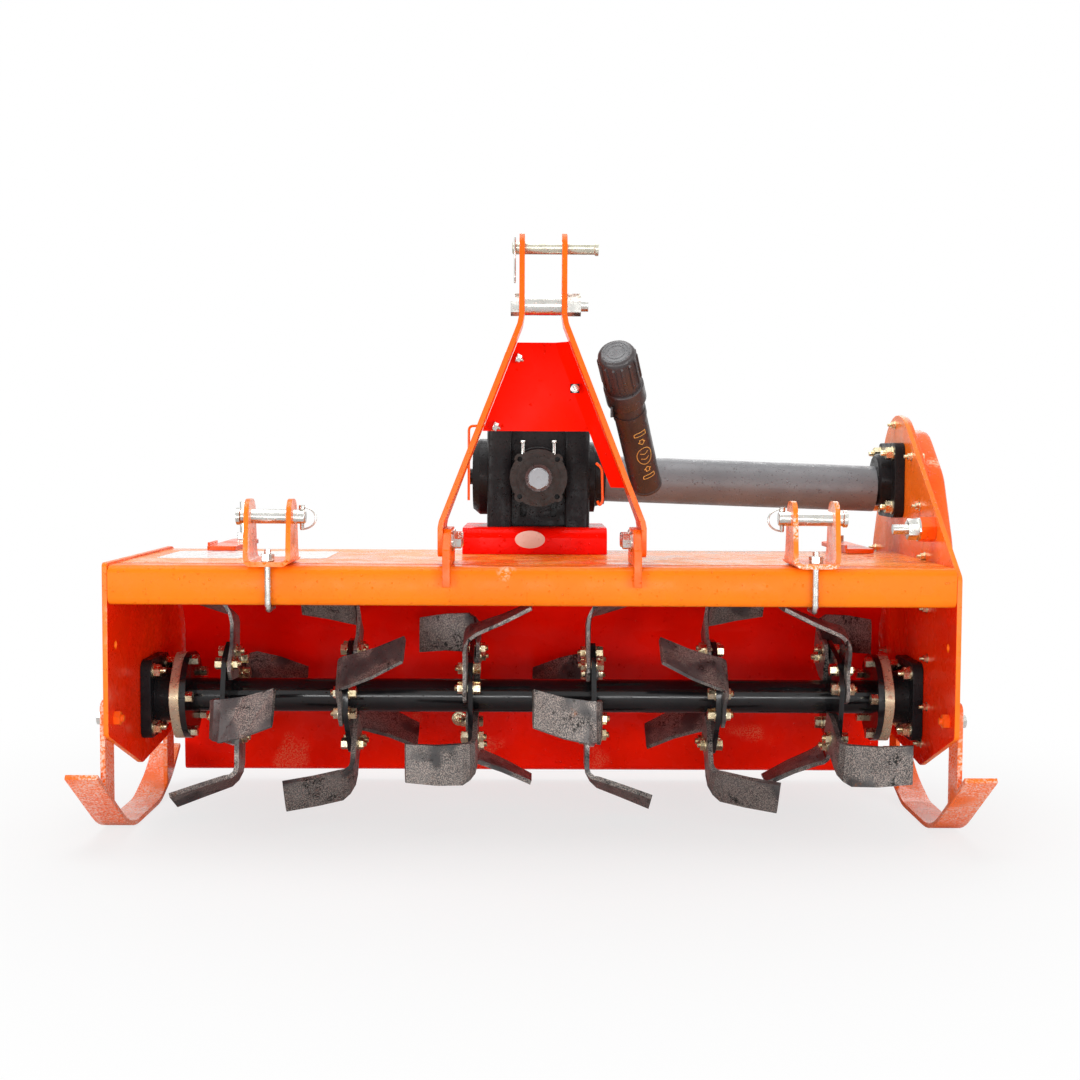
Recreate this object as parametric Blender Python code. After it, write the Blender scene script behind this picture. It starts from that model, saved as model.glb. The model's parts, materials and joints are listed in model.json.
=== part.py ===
# Three-point rotary tiller, working width 1.25 m, with a side gear drive.
# Metres, +Z up. +X is the machine's left-to-right as seen from the tractor's side,
# +Y points back from the hitch to the tail board.
# Every height is worked out from the rotor, which stands one tine reach above the floor.

import bpy
import bmesh
from math import acos, asin, atan2, ceil, cos, hypot, pi, radians, sin, sqrt, tan
from mathutils import Matrix, Vector

# Clearances
GAP = 0.0003                 # between two pieces that touch
PIN_PLAY = 0.0003            # round a pin in its hole
BEARING_PLAY = 0.0006        # round the rotor's stub in its bearing
PARK_CLEARANCE = 0.010       # tines above the floor with the skids set for parking

# Rotor and tines
TINE_REACH = 0.198           # tip circle radius
ROTOR_Y = 0.250              # rotor axis behind the beam's front face
ROTOR_Z = TINE_REACH + PARK_CLEARANCE
ROTOR_TUBE_RADIUS = 0.028
FLANGE_COUNT = 6
FLANGE_INSET = 0.146         # outer flange from the body's side
FLANGE_THICK = 0.008
FLANGE_RIM = 0.015           # flange beyond the middle of its bolts
TINE_FIRST = radians(-3.0)   # first tine of the left flange
TINE_STEP = radians(-30.0)   # turn from one flange to the next
TINE_THICK = 0.008
TINE_SIDE_GAP = 0.0015       # from a tine's tip to the middle between two flanges
TINE_BEND = 0.030            # middle radius of the bend
TINE_BEND_ANGLE = radians(70.0)
BLADE_ROOT_WIDTH = 0.069
BLADE_TIP_WIDTH = 0.062
BLADE_PITCH_ROOT = radians(19.0)   # leading edge outward
BLADE_PITCH_TIP = radians(25.0)
BLADE_TIP_RADIUS = 0.179     # middle of the blade's end
BLADE_TIP_LEAD = 0.002
BLADE_SHARPEN = 0.012
SHANK = (                    # out along the tine, trailing edge, leading edge
    (0.030, 0.012, 0.062),
    (0.045, 0.004, 0.076),
    (0.062, 0.000, 0.074),
    (0.085, -0.002, 0.056),
    (0.122, -0.003, 0.053),
)
TINE_BOLT_RADIUS = 0.081     # middle of a bolt from the rotor axis
TINE_BOLT_LEADS = (radians(21.0), radians(45.5))
TINE_BOLT_ACROSS = 0.017     # across the flats
TINE_BOLT_HEAD = 0.012
TINE_NUT = 0.009

# Body
BODY_HALF = 0.650
FLANGE_FIRST_X = FLANGE_INSET - BODY_HALF
FLANGE_PITCH = -2.0 * FLANGE_FIRST_X / (FLANGE_COUNT - 1)
TINE_SPREAD = FLANGE_PITCH / 2.0 - TINE_SIDE_GAP
PLATE = 0.008
DECK_CLEARANCE = 0.037       # tine circle to the underside of the deck
SHEET = 0.004
BEAM = 0.060
BEAM_WALL = 0.004
BEAM_CORNER = 0.012
BEAM_TOP = ROTOR_Z + TINE_REACH + DECK_CLEARANCE
BEAM_BOTTOM = BEAM_TOP - BEAM
DECK_REAR = 0.425
HOOD_KNEE_Y = 0.511
HOOD_KNEE_Z = ROTOR_Z + 0.092
HOOD_END_Y = 0.515
HOOD_END_Z = ROTOR_Z - 0.015

# Side plate corners: back from the beam's face, above the rotor axis
PLATE_FRONT_LOW = -0.025
PLATE_TOE = (0.199, -0.106)
PLATE_HEEL = (0.400, -0.090)
PLATE_REAR_LOW = (0.518, 0.001)
PLATE_REAR_KNEE = (0.528, 0.096)
PLATE_LIP = 0.004            # side plate above the deck
TOWER_REAR = (0.575, 0.239)

# Drive down the right side
DRIVE_Y = 0.400
DRIVE_Z = ROTOR_Z + 0.363
TOWER_RADIUS = 0.114
COVER_FLANGE = 0.006
COVER_DEPTH = 0.044
COVER_STEP = 0.024           # dome inside the flange's edge
COVER_ROUND = 0.012
BEARING_SLAB = 0.130
BEARING_SLAB_THICK = 0.017
BEARING_CORNER = 0.016
ROTOR_BARREL_RADIUS = 0.044
ROTOR_BARREL_LENGTH = 0.029
DRIVE_BARREL_RADIUS = 0.046
DRIVE_BARREL_LENGTH = 0.022
STUB_RADIUS = 0.0225
HUB_RADIUS = 0.074
HUB_LENGTH = 0.016
HUB_RUNNING_GAP = 0.002
HUB_LOBES = 5
HUB_LOBE_DEPTH = 0.006
END_FLANGE = 0.010
END_BOLT_CIRCLE = 0.062
END_BOLT_ACROSS = 0.016
END_BOLT_HEAD = 0.011
END_BOLT_FIRST = radians(5.0)
CAP_RADIUS = 0.056
CAP_DEPTH = 0.014

# Gearbox and its input
BOX_LEFT = -0.079
BOX_RIGHT = 0.097
BOX_FRONT = 0.320
BOX_BACK = 0.480
BOX_RECESS = 0.025
BOX_PILLAR = 0.042
BOX_HEIGHT = 0.165
BOX_CORNER = 0.008
SADDLE_HEIGHT = 0.045
SADDLE_WALL = 0.007
SADDLE_CORNER = 0.014
SADDLE_LEFT = -0.120
SADDLE_RIGHT = 0.126
SADDLE_FRONT = 0.288
SADDLE_BACK = 0.492
INPUT_ABOVE = 0.085          # input axis above the gearbox's foot
NECK_RADIUS = 0.042
FLANGE_FACE_Y = 0.260
INPUT_FLANGE = 0.012
INPUT_LIP = 0.003            # raised ring round the bore
INPUT_LIP_RADIUS = 0.036
INPUT_FLANGE_RADIUS = 0.0485
INPUT_BOLT_SPACING = 0.0628
INPUT_EAR = 0.0095
INPUT_EAR_SET = 0.0006       # ears inside the flange's faces
INPUT_HOLE = 0.0045
INPUT_BORE = 0.023
INPUT_BORE_DEPTH = 0.060
CASTING_LAP = 0.010          # a neck or cover runs this far into the case
NECK_FLARE = 0.004
NECK_TAPER = 0.030
INPUT_SHAFT_RADIUS = 0.0174
INPUT_STUB = 0.075           # shaft in front of the flange
SPLINE_COUNT = 6
SPLINE_DEPTH = 0.0028
GROOVE_PLACE = 0.022         # lock groove behind the shaft's end
GROOVE_WIDTH = 0.008
SIDE_COVER_RADIUS = 0.067
SIDE_COVER_DEPTH = 0.026
SIDE_COVER_RIM = 0.014
SIDE_COVER_TAPER = 0.010
SIDE_PLUG_RADIUS = 0.014
SIDE_PLUG_DEPTH = 0.008
OUTPUT_FLANGE_DEPTH = 0.028
OUTPUT_FLANGE_RADIUS = 0.062
OUTPUT_RIM = 0.010
OUTPUT_STEP = 0.010
OUTPUT_TAPER = 0.004
GUARD_RADIUS = 0.040
GUARD_WALL = 0.003
GUARD_DROP = 0.016           # the guard hangs lower at the side drive

# Hitch
HITCH_X = 0.014
MAST_Y = 0.030
MAST_PLATE = 0.008
MAST_JAW = 0.056             # gap between the top link ears
EAR_RADIUS = 0.022
TOP_PIN_ABOVE = 0.481        # above the beam's top
SPACER_BELOW = 0.085         # under the top pin
MAST_BEND_BELOW = 0.108
MAST_FOOT_HALF = 0.1543      # middle of the foot plate from the hitch line
MAST_FOOT_BEND = 0.007       # above the lug's top
MAST_FOOT_LIFT = 0.014
MAST_FOOT_BACK = 0.130
LEG_DEPTH_LOW = 0.052        # leg behind the top pin line, above the foot
LEG_DEPTH_HIGH = 0.040       # and at the upper bend
LEG_LOW_RISE = 0.080
MAST_BEND_RADIUS = 0.040
FOOT_BEND_RADIUS = 0.025
MAST_FOOT_ROUND = 0.014
TOP_PIN_RADIUS = 0.0095
TOP_PIN_SHORT = 0.011        # past the left ear
TOP_PIN_LONG = 0.047         # past the right ear, with the head
TOP_PIN_HEAD = 0.006
TOP_PIN_HEAD_RADIUS = 0.0115
SPACER_RADIUS = 0.016
SPACER_BOLT_RADIUS = 0.010
SPACER_BOLT_ACROSS = 0.030
SPACER_BOLT_HEAD = 0.013
SPACER_BOLT_NUT = 0.021
SPACER_BOLT_END = 0.032      # thread past the right ear
LUG_PLATE = 0.012
LUG_HEIGHT = 0.056
LUG_BACK = 0.130
LUG_NOSE = 0.014
LUG_HOOK = 0.030
LUG_CORNER = 0.020           # cut off the rear top corner
LUG_FRONT_TOP = 0.016
LUG_FRONT_DROP = 0.030       # slope from there to the nose
GUARD_TOP_BELOW = 0.030      # guard sheet's top under the mast's upper bend
GUARD_SHEET_HEIGHT = 0.137
GUARD_SHEET_Y = 0.060
GUARD_SHEET = 0.004
WING_LOW = 0.119
WING_WIDTH = 0.018
WING_BACK = 0.024

# Lower hitch clevises
CLEVIS_HALF_SPAN = 0.4125
CLEVIS_JAW = 0.056
CLEVIS_PLATE = 0.0075
CLEVIS_FRONT = -0.025
CLEVIS_BACK = 0.100
CLEVIS_EAR_FRONT = -0.016
CLEVIS_EAR_BACK = 0.061
CLEVIS_PIN_Y = 0.0225
CLEVIS_PIN_ABOVE = 0.074
CLEVIS_EAR_RADIUS = 0.027
CLEVIS_PIN_RADIUS = 0.011
CLEVIS_PIN_SHORT = 0.018     # past the inner ear
CLEVIS_PIN_LENGTH = 0.105
CLEVIS_PIN_HEAD = 0.006
CLEVIS_BEND = 0.010
CLEVIS_ROOT = 0.016          # ear's foot above the plate, with its round
CLEVIS_ROOT_ROUND = 0.020
CLEVIS_ROOT_BACK = 0.012
CLEVIS_EAR_ROUND = 0.023
HOOK_BOLT_RADIUS = 0.0052
HOOK_BOLT_UP = 0.018
HOOK_BOLT_BACK = 0.036
HOOK_BOLT_BEND = 0.010
HOOK_NUT = 0.011
HOOK_NUT_ACROSS = 0.019

# Tail board and its sprung rods
HINGE_Y = 0.530
HINGE_Z = ROTOR_Z - 0.003
HINGE_PIN_RADIUS = 0.005
HINGE_BARREL_RADIUS = 0.0095
HINGE_BARREL = 0.040
BARREL_RELIEF = 0.0025       # round the hood's ears
HINGE_SHARES = (-0.86, -0.29, 0.29, 0.86)   # of the body's half width
BOARD_FOOT_Z = 0.019
BOARD_LEAN = 0.006
BOARD_LIP = 0.014
ROD_INSET = 0.094
ROD_HALF_SPAN = BODY_HALF - ROD_INSET
ROD_EYE_BACK = 0.035         # eye from the hinge
ROD_EYE_DOWN = 0.055
ROD_EYE_RADIUS = 0.014
ROD_EYE_PIN = 0.006
ROD_RADIUS = 0.007
ROD_EYE_THICK = 2.0 * ROD_RADIUS + 0.002
ROD_LENGTH = 0.372
BRACKET_SLOT_Y = 0.560
BRACKET_FRONT = 0.350
BRACKET_BACK = 0.590
BRACKET_WIDTH = 0.050
BRACKET_PLATE = 0.008
BRACKET_RIB = 0.014
SLOT_HALF = 0.019
SLOT_RADIUS = 0.0095
SPRING_RADIUS = 0.017
SPRING_WIRE = 0.005
SPRING_COLLAR = 0.105        # collar above the rod's eye
ROD_COLLAR = 0.006
ROD_NUT = 0.012
ROD_NUT_ACROSS = 0.024
ROD_PLAY = 0.001             # rod's nut and spring from the bracket's plate
BOARD_LUG = 0.008
BOARD_LUG_REACH = 0.013      # lug round the rod's pin
BOARD_PIN_END = 0.006        # pin past the rod's eye

# Skids
SKID_WIDTH = 0.050
SKID_PLATE = 0.008
SKID_TAB_ROUND = 0.014
SKID_PATH = (                # back, above the sole, bend radius
    (-0.031, 0.123, 0.0),
    (0.156, 0.0, 0.180),
    (0.352, 0.0, 0.130),
    (0.434, 0.027, 0.200),
    (0.500, 0.070, 0.0),
)
SKID_TABS = (                # front, back, top above the sole
    (0.010, 0.060, 0.235),
    (0.400, 0.450, 0.195),
)

# Manual tube beside the mast
TUBE_TOP = (0.1235, 0.010, ROTOR_Z + 0.559)
TUBE_FOOT = (0.188, 0.240, ROTOR_Z + 0.356)
TUBE_RADIUS = 0.0255
TUBE_COLLAR = 0.0315
TUBE_CAP = 0.029
TUBE_CAP_LENGTH = 0.070
TUBE_COLLAR_LENGTH = 0.034
TUBE_ROUND = 0.006
GRIP_Z = BEAM_TOP + 0.200     # clamp on the mast leg
GRIP_HEIGHT = 0.030
GRIP_HALF_WIDTH = 0.012
GRIP_STRAP = 0.005

# Stud on the tower plate
STUD_Y = 0.140
STUD_ABOVE = 0.053           # above the beam's top
STUD_RADIUS = 0.008
STUD_REACH = 0.066           # in from the plate
STUD_BOSS_LENGTH = 0.024
STUD_BOSS_ACROSS = 0.036
STUD_WASHER_RADIUS = 0.019
STUD_NUT_START = 0.027
STUD_NUT_END = 0.043
STUD_NUT_ACROSS = 0.030

# Colours: name, red, green, blue, roughness, metallic
FINISHES = {
    "orange": (0.90, 0.13, 0.01, 0.30, 0.0),
    "black": (0.012, 0.012, 0.014, 0.35, 0.0),
    "tine": (0.045, 0.038, 0.034, 0.60, 0.6),
    "zinc": (0.62, 0.60, 0.54, 0.32, 1.0),
    "gold": (0.62, 0.50, 0.30, 0.38, 1.0),
    "plastic": (0.05, 0.05, 0.055, 0.60, 0.0),
}

for old in list(bpy.data.objects):
    bpy.data.objects.remove(old)
root = bpy.data.objects.new("machine", None)
bpy.context.scene.collection.objects.link(root)


# Outlines in a plane

def filleted(corners, closed=True, step=radians(24.0)):
    """Points of a path whose corners are (a, b, radius)."""
    points = []
    count = len(corners)
    for index, (a, b, radius) in enumerate(corners):
        here = Vector((a, b))
        if radius == 0.0 or (not closed and index in (0, count - 1)):
            points.append((a, b))
            continue
        before = (Vector(corners[index - 1][:2]) - here).normalized()
        after = (Vector(corners[(index + 1) % count][:2]) - here).normalized()
        half = acos(max(-1.0, min(1.0, before.dot(after)))) / 2.0
        centre = here + (before + after).normalized() * (radius / sin(half))
        start = here + before * (radius / tan(half)) - centre
        sweep = pi - 2.0 * half
        turn = 1.0 if start.y * before.x - start.x * before.y > 0.0 else -1.0
        pieces = max(1, ceil(sweep / step))
        for piece in range(pieces + 1):
            angle = turn * sweep * piece / pieces
            x = centre.x + start.x * cos(angle) - start.y * sin(angle)
            y = centre.y + start.x * sin(angle) + start.y * cos(angle)
            points.append((x, y))
    return points


def thickened(path, thick):
    """Outline of a sheet whose middle follows the open path."""
    left = []
    right = []
    for index, here in enumerate(path):
        here = Vector(here)
        before = Vector(path[max(index - 1, 0)])
        after = Vector(path[min(index + 1, len(path) - 1)])
        first = (here - before).normalized() if index > 0 else (after - here).normalized()
        second = (after - here).normalized() if index < len(path) - 1 else first
        normal = Vector((-first.y - second.y, first.x + second.x)).normalized()
        reach = thick / 2.0 / normal.dot(Vector((-first.y, first.x)))
        left.append(tuple(here + normal * reach))
        right.append(tuple(here - normal * reach))
    return left + right[::-1]


def circle(a, b, radius, sides=20):
    turns = [2.0 * pi * k / sides for k in range(sides)]
    return [(a + radius * cos(turn), b + radius * sin(turn)) for turn in turns]


def belt(circles, sides=48):
    """Outline of a band drawn tight round circles (a, b, radius)."""
    points = []
    for a, b, radius in circles:
        points += circle(a, b, radius, sides)
    points = sorted(set((round(a, 6), round(b, 6)) for a, b in points))
    chains = []
    for run in (points, points[::-1]):
        chain = []
        for a, b in run:
            while len(chain) > 1:
                (c, d), (e, f) = chain[-2], chain[-1]
                if (e - c) * (b - d) - (f - d) * (a - c) > 1e-9:
                    break
                chain.pop()
            chain.append((a, b))
        chains += chain[:-1]
    return chains


def box_outline(a_low, b_low, a_high, b_high, radius=0.0):
    corners = ((a_low, b_low), (a_high, b_low), (a_high, b_high), (a_low, b_high))
    return filleted([(a, b, radius) for a, b in corners])


# Solids

def placed(axis, a, b, along):
    """Point of an outline drawn across an axis."""
    return {"X": (along, a, b), "Y": (a, along, b), "Z": (a, b, along)}[axis]


def as_mesh(work):
    bmesh.ops.recalc_face_normals(work, faces=work.faces)
    mesh = bpy.data.meshes.new("solid")
    work.to_mesh(mesh)
    work.free()
    return mesh


def lofted(rings, closed=False):
    """Skin over rings of equal length, capped at both ends or run round on itself."""
    work = bmesh.new()
    loops = [[work.verts.new(point) for point in ring] for ring in rings]
    pairs = list(zip(loops, loops[1:]))
    if closed:
        pairs.append((loops[-1], loops[0]))
    else:
        work.faces.new(loops[0])
        work.faces.new(loops[-1])
    size = len(loops[0])
    for low, high in pairs:
        for k in range(size):
            n = (k + 1) % size
            work.faces.new((low[k], low[n], high[n], high[k]))
    return as_mesh(work)


def prism(axis, outline, low, high):
    return lofted([[placed(axis, a, b, along) for a, b in outline] for along in (low, high)])


def ring_prism(axis, outer, inner, low, high):
    """A prism with an open passage, from outlines of equal length."""
    rings = []
    for outline, along in ((outer, low), (outer, high), (inner, high), (inner, low)):
        rings.append([placed(axis, a, b, along) for a, b in outline])
    return lofted(rings, closed=True)


def turned(start, direction, profile, sides=20, phase=0.0, bored=False):
    """Solid of revolution. The profile lists (distance along, radius)."""
    start = Vector(start)
    along = Vector(direction).normalized()
    side = along.orthogonal().normalized()
    up = along.cross(side)
    rings = []
    for distance, radius in profile:
        ring = []
        for k in range(sides):
            angle = phase + 2.0 * pi * k / sides
            ring.append(start + along * distance + (side * cos(angle) + up * sin(angle)) * radius)
        rings.append(ring)
    return lofted(rings, closed=bored)


def bar(start, end, radius, sides=16):
    """Round bar between two points."""
    span = Vector(end) - Vector(start)
    return turned(start, span, ((0.0, radius), (span.length, radius)), sides)


def hexagon(start, end, across, phase=0.0):
    """Hexagon bar between two points, such as a bolt's head and nut."""
    span = Vector(end) - Vector(start)
    corner = across / sqrt(3.0)
    return turned(start, span, ((0.0, corner), (span.length, corner)), 6, phase)


def combined(operation, base, others):
    """The base mesh after a boolean with each of the others in turn."""
    link = bpy.context.scene.collection.objects.link
    body = bpy.data.objects.new("work", base)
    link(body)
    tools = []
    for mesh in others:
        tool = bpy.data.objects.new("tool", mesh)
        link(tool)
        tools.append(tool)
        modifier = body.modifiers.new("step", "BOOLEAN")
        modifier.operation = operation
        modifier.solver = "EXACT"
        modifier.object = tool
    graph = bpy.context.evaluated_depsgraph_get()
    result = bpy.data.meshes.new_from_object(body.evaluated_get(graph))
    for used in [body] + tools:
        bpy.data.objects.remove(used)
    return result


def fused(*meshes):
    return combined("UNION", meshes[0], meshes[1:])


def cut(base, *tools):
    return combined("DIFFERENCE", base, tools)


def common(base, tool):
    return combined("INTERSECT", base, [tool])


def material(finish):
    if finish in bpy.data.materials:
        return bpy.data.materials[finish]
    red, green, blue, roughness, metallic = FINISHES[finish]
    made = bpy.data.materials.new(finish)
    made.use_nodes = True
    shader = made.node_tree.nodes["Principled BSDF"]
    shader.inputs["Base Color"].default_value = (red, green, blue, 1.0)
    shader.inputs["Roughness"].default_value = roughness
    shader.inputs["Metallic"].default_value = metallic
    return made


def piece(name, mesh, finish, axis_point=(0.0, 0.0, 0.0), parent=None):
    """One named sub-part. A moving piece has its origin on its joint's axis."""
    parent = parent or root
    mesh.transform(Matrix.Translation(-Vector(axis_point)))
    mesh.name = name
    mesh.materials.clear()
    mesh.materials.append(material(finish))
    mesh.shade_smooth()
    mesh.set_sharp_from_angle(angle=radians(30.0))
    made = bpy.data.objects.new(name, mesh)
    bpy.context.scene.collection.objects.link(made)
    made.parent = parent
    made.location = Vector(axis_point) - Vector(parent.get("axis_point", (0.0, 0.0, 0.0)))
    return made


SIDES = (("left", -1.0), ("right", 1.0))
PLATE_IN = BODY_HALF - PLATE


# Body: front beam, side plates, hood

def make_beam():
    outer = box_outline(0.0, BEAM_BOTTOM, BEAM, BEAM_TOP, BEAM_CORNER)
    inner = box_outline(
        BEAM_WALL, BEAM_BOTTOM + BEAM_WALL, BEAM - BEAM_WALL, BEAM_TOP - BEAM_WALL, BEAM_CORNER - BEAM_WALL)
    end = PLATE_IN - GAP
    piece("front_beam", ring_prism("X", outer, inner, -end, end), "orange")


def plate_low_corners():
    """Lower edge shared by both side plates, from the front to the rear knee."""
    corners = [(0.0, ROTOR_Z + PLATE_FRONT_LOW, 0.010)]
    corners += [(y, ROTOR_Z + z, 0.030) for y, z in (PLATE_TOE, PLATE_HEEL)]
    corners.append((PLATE_REAR_LOW[0], ROTOR_Z + PLATE_REAR_LOW[1], 0.0))
    corners.append((PLATE_REAR_KNEE[0], ROTOR_Z + PLATE_REAR_KNEE[1], 0.060))
    return corners


def tower_corners():
    """Upper edge of the right plate, round the drive axis and down the front."""
    front_z = BEAM_TOP - 0.013
    reach = hypot(DRIVE_Y, DRIVE_Z - front_z)
    slope = atan2(DRIVE_Z - front_z, DRIVE_Y) + asin(TOWER_RADIUS / reach)
    start = slope + pi / 2.0
    end = 0.0
    steps = 12
    points = [(TOWER_REAR[0], ROTOR_Z + TOWER_REAR[1], 0.030)]
    for step in range(steps + 1):
        angle = end + (start - end) * step / steps
        points.append((DRIVE_Y + TOWER_RADIUS * cos(angle), DRIVE_Z + TOWER_RADIUS * sin(angle), 0.0))
    points.append((0.0, front_z, 0.012))
    return points


def make_side_plates():
    top = BEAM_TOP + PLATE_LIP
    rear = (DECK_REAR + PLATE_LIP, top, 0.030)
    outline = filleted(plate_low_corners() + [rear, (0.0, top, 0.006)])
    piece("left_side_plate", prism("X", outline, -BODY_HALF, -PLATE_IN), "orange")
    outline = filleted(plate_low_corners() + tower_corners())
    piece("right_side_plate", prism("X", outline, PLATE_IN, BODY_HALF), "orange")


HINGE_PLACES = [share * BODY_HALF for share in HINGE_SHARES]
PIN_BEYOND = 0.006           # hinge pin past its last ear


def make_hood():
    middle = SHEET / 2.0
    path = filleted([
        (BEAM + GAP, BEAM_TOP - middle, 0.0),
        (DECK_REAR, BEAM_TOP - middle, 0.025),
        (HOOD_KNEE_Y, HOOD_KNEE_Z, 0.060),
        (HOOD_END_Y, HOOD_END_Z, 0.0)], closed=False)
    end = PLATE_IN - GAP
    sheet = prism("X", thickened(path, SHEET), -end, end)
    ears = []
    for x in HINGE_PLACES:
        ears.append(prism("X", box_outline(
            HOOD_END_Y, HINGE_Z - HINGE_BARREL_RADIUS * 0.8, HINGE_Y, HINGE_Z + HINGE_BARREL_RADIUS * 0.8),
            x + GAP, x + HINGE_BARREL))
        ears.append(prism("X", circle(HINGE_Y, HINGE_Z, HINGE_BARREL_RADIUS, 10), x + GAP, x + HINGE_BARREL))
    sheet = fused(sheet, *ears)
    bore = bar((-end, HINGE_Y, HINGE_Z), (end, HINGE_Y, HINGE_Z), HINGE_PIN_RADIUS + PIN_PLAY, 10)
    piece("hood", cut(sheet, bore), "orange")
    reach = HINGE_PLACES[-1] + HINGE_BARREL + PIN_BEYOND
    pin = bar((-reach, HINGE_Y, HINGE_Z), (reach, HINGE_Y, HINGE_Z), HINGE_PIN_RADIUS, 10)
    piece("hinge_pin", pin, "zinc")


# Rotor bearings and the side drive

def bearing_block(axis_y, axis_z, side, barrel_radius, barrel_length, bore_radius):
    """Square flange on a side plate's inner face with a round barrel."""
    half = BEARING_SLAB / 2.0
    outline = box_outline(axis_y - half, axis_z - half, axis_y + half, axis_z + half, BEARING_CORNER)
    outer = PLATE_IN - GAP
    inner = outer - BEARING_SLAB_THICK
    slab = prism("X", outline, min(side * outer, side * inner), max(side * outer, side * inner))
    end = inner - barrel_length
    barrel = turned((side * (inner + 0.004), axis_y, axis_z), (-side, 0.0, 0.0), (
        (0.0, barrel_radius), (barrel_length, barrel_radius),
        (barrel_length + 0.004, barrel_radius - 0.004)), 24)
    body = fused(slab, barrel)
    if bore_radius:
        tool = bar((side * (outer + 0.01), axis_y, axis_z), (side * (end - 0.01), axis_y, axis_z),
                   bore_radius, 24)
        body = cut(body, tool)
    return body


def make_bearings():
    for name, side in SIDES:
        block = bearing_block(
            ROTOR_Y, ROTOR_Z, side, ROTOR_BARREL_RADIUS, ROTOR_BARREL_LENGTH, STUB_RADIUS + BEARING_PLAY)
        piece(name + "_rotor_bearing", block, "black")
    block = bearing_block(DRIVE_Y, DRIVE_Z, 1.0, DRIVE_BARREL_RADIUS, DRIVE_BARREL_LENGTH, 0.0)
    piece("upper_bearing_housing", block, "black")
    start = BODY_HALF + GAP
    cap = turned((-start, ROTOR_Y, ROTOR_Z), (-1.0, 0.0, 0.0), (
        (0.0, CAP_RADIUS), (CAP_DEPTH * 0.5, CAP_RADIUS), (CAP_DEPTH, CAP_RADIUS - 0.012)), 24)
    piece("left_bearing_cap", cap, "black")


def make_gear_cover():
    """Cast cover of the side drive, an egg shape from the drive axis to the rotor."""
    circles = (              # back, above the rotor axis, radius
        (DRIVE_Y, DRIVE_Z - ROTOR_Z, TOWER_RADIUS - 0.002),
        (0.320, 0.332, 0.090),
        (0.480, 0.232, 0.082),
        (0.400, 0.082, 0.082),
        (0.290, 0.232, 0.112),
        (0.270, 0.092, 0.116),
        (ROTOR_Y, 0.0, 0.100),
    )
    face = BODY_HALF + GAP
    flange = belt([(a, ROTOR_Z + b, r) for a, b, r in circles], 28)
    dome = belt([(a, ROTOR_Z + b, r - COVER_STEP) for a, b, r in circles], 28)
    dome = prism("X", dome, face + COVER_FLANGE / 2.0, face + COVER_DEPTH)
    work = bmesh.new()
    work.from_mesh(dome)
    rim = [edge for edge in work.edges if all(v.co.x > face + COVER_DEPTH - 0.001 for v in edge.verts)]
    bmesh.ops.bevel(work, geom=rim, offset=COVER_ROUND, segments=2, profile=0.5, affect="EDGES")
    cover = fused(prism("X", flange, face, face + COVER_FLANGE), as_mesh(work))
    piece("gear_case_cover", cover, "orange")


# Gearbox, its seat and the drive shaft's guard

BOX_FOOT = BEAM_TOP + GAP + SADDLE_HEIGHT + GAP
INPUT_X = (BOX_LEFT + BOX_RIGHT) / 2.0
INPUT_Z = BOX_FOOT + INPUT_ABOVE


def make_saddle():
    """Folded channel, open below, that carries the gearbox on the deck."""
    low = BEAM_TOP + GAP
    high = low + SADDLE_HEIGHT
    middle = SADDLE_WALL / 2.0
    path = filleted([
        (SADDLE_FRONT + middle, low, 0.0), (SADDLE_FRONT + middle, high - middle, SADDLE_CORNER),
        (SADDLE_BACK - middle, high - middle, SADDLE_CORNER), (SADDLE_BACK - middle, low, 0.0)],
        closed=False)
    piece("gearbox_saddle", prism("X", thickened(path, SADDLE_WALL), SADDLE_LEFT, SADDLE_RIGHT), "orange")


def input_ears(radius):
    """Circles at the four corners of the input flange's bolt square."""
    half = INPUT_BOLT_SPACING / 2.0
    return [(INPUT_X + a * half, INPUT_Z + b * half, radius) for a in (-1.0, 1.0) for b in (-1.0, 1.0)]


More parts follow.
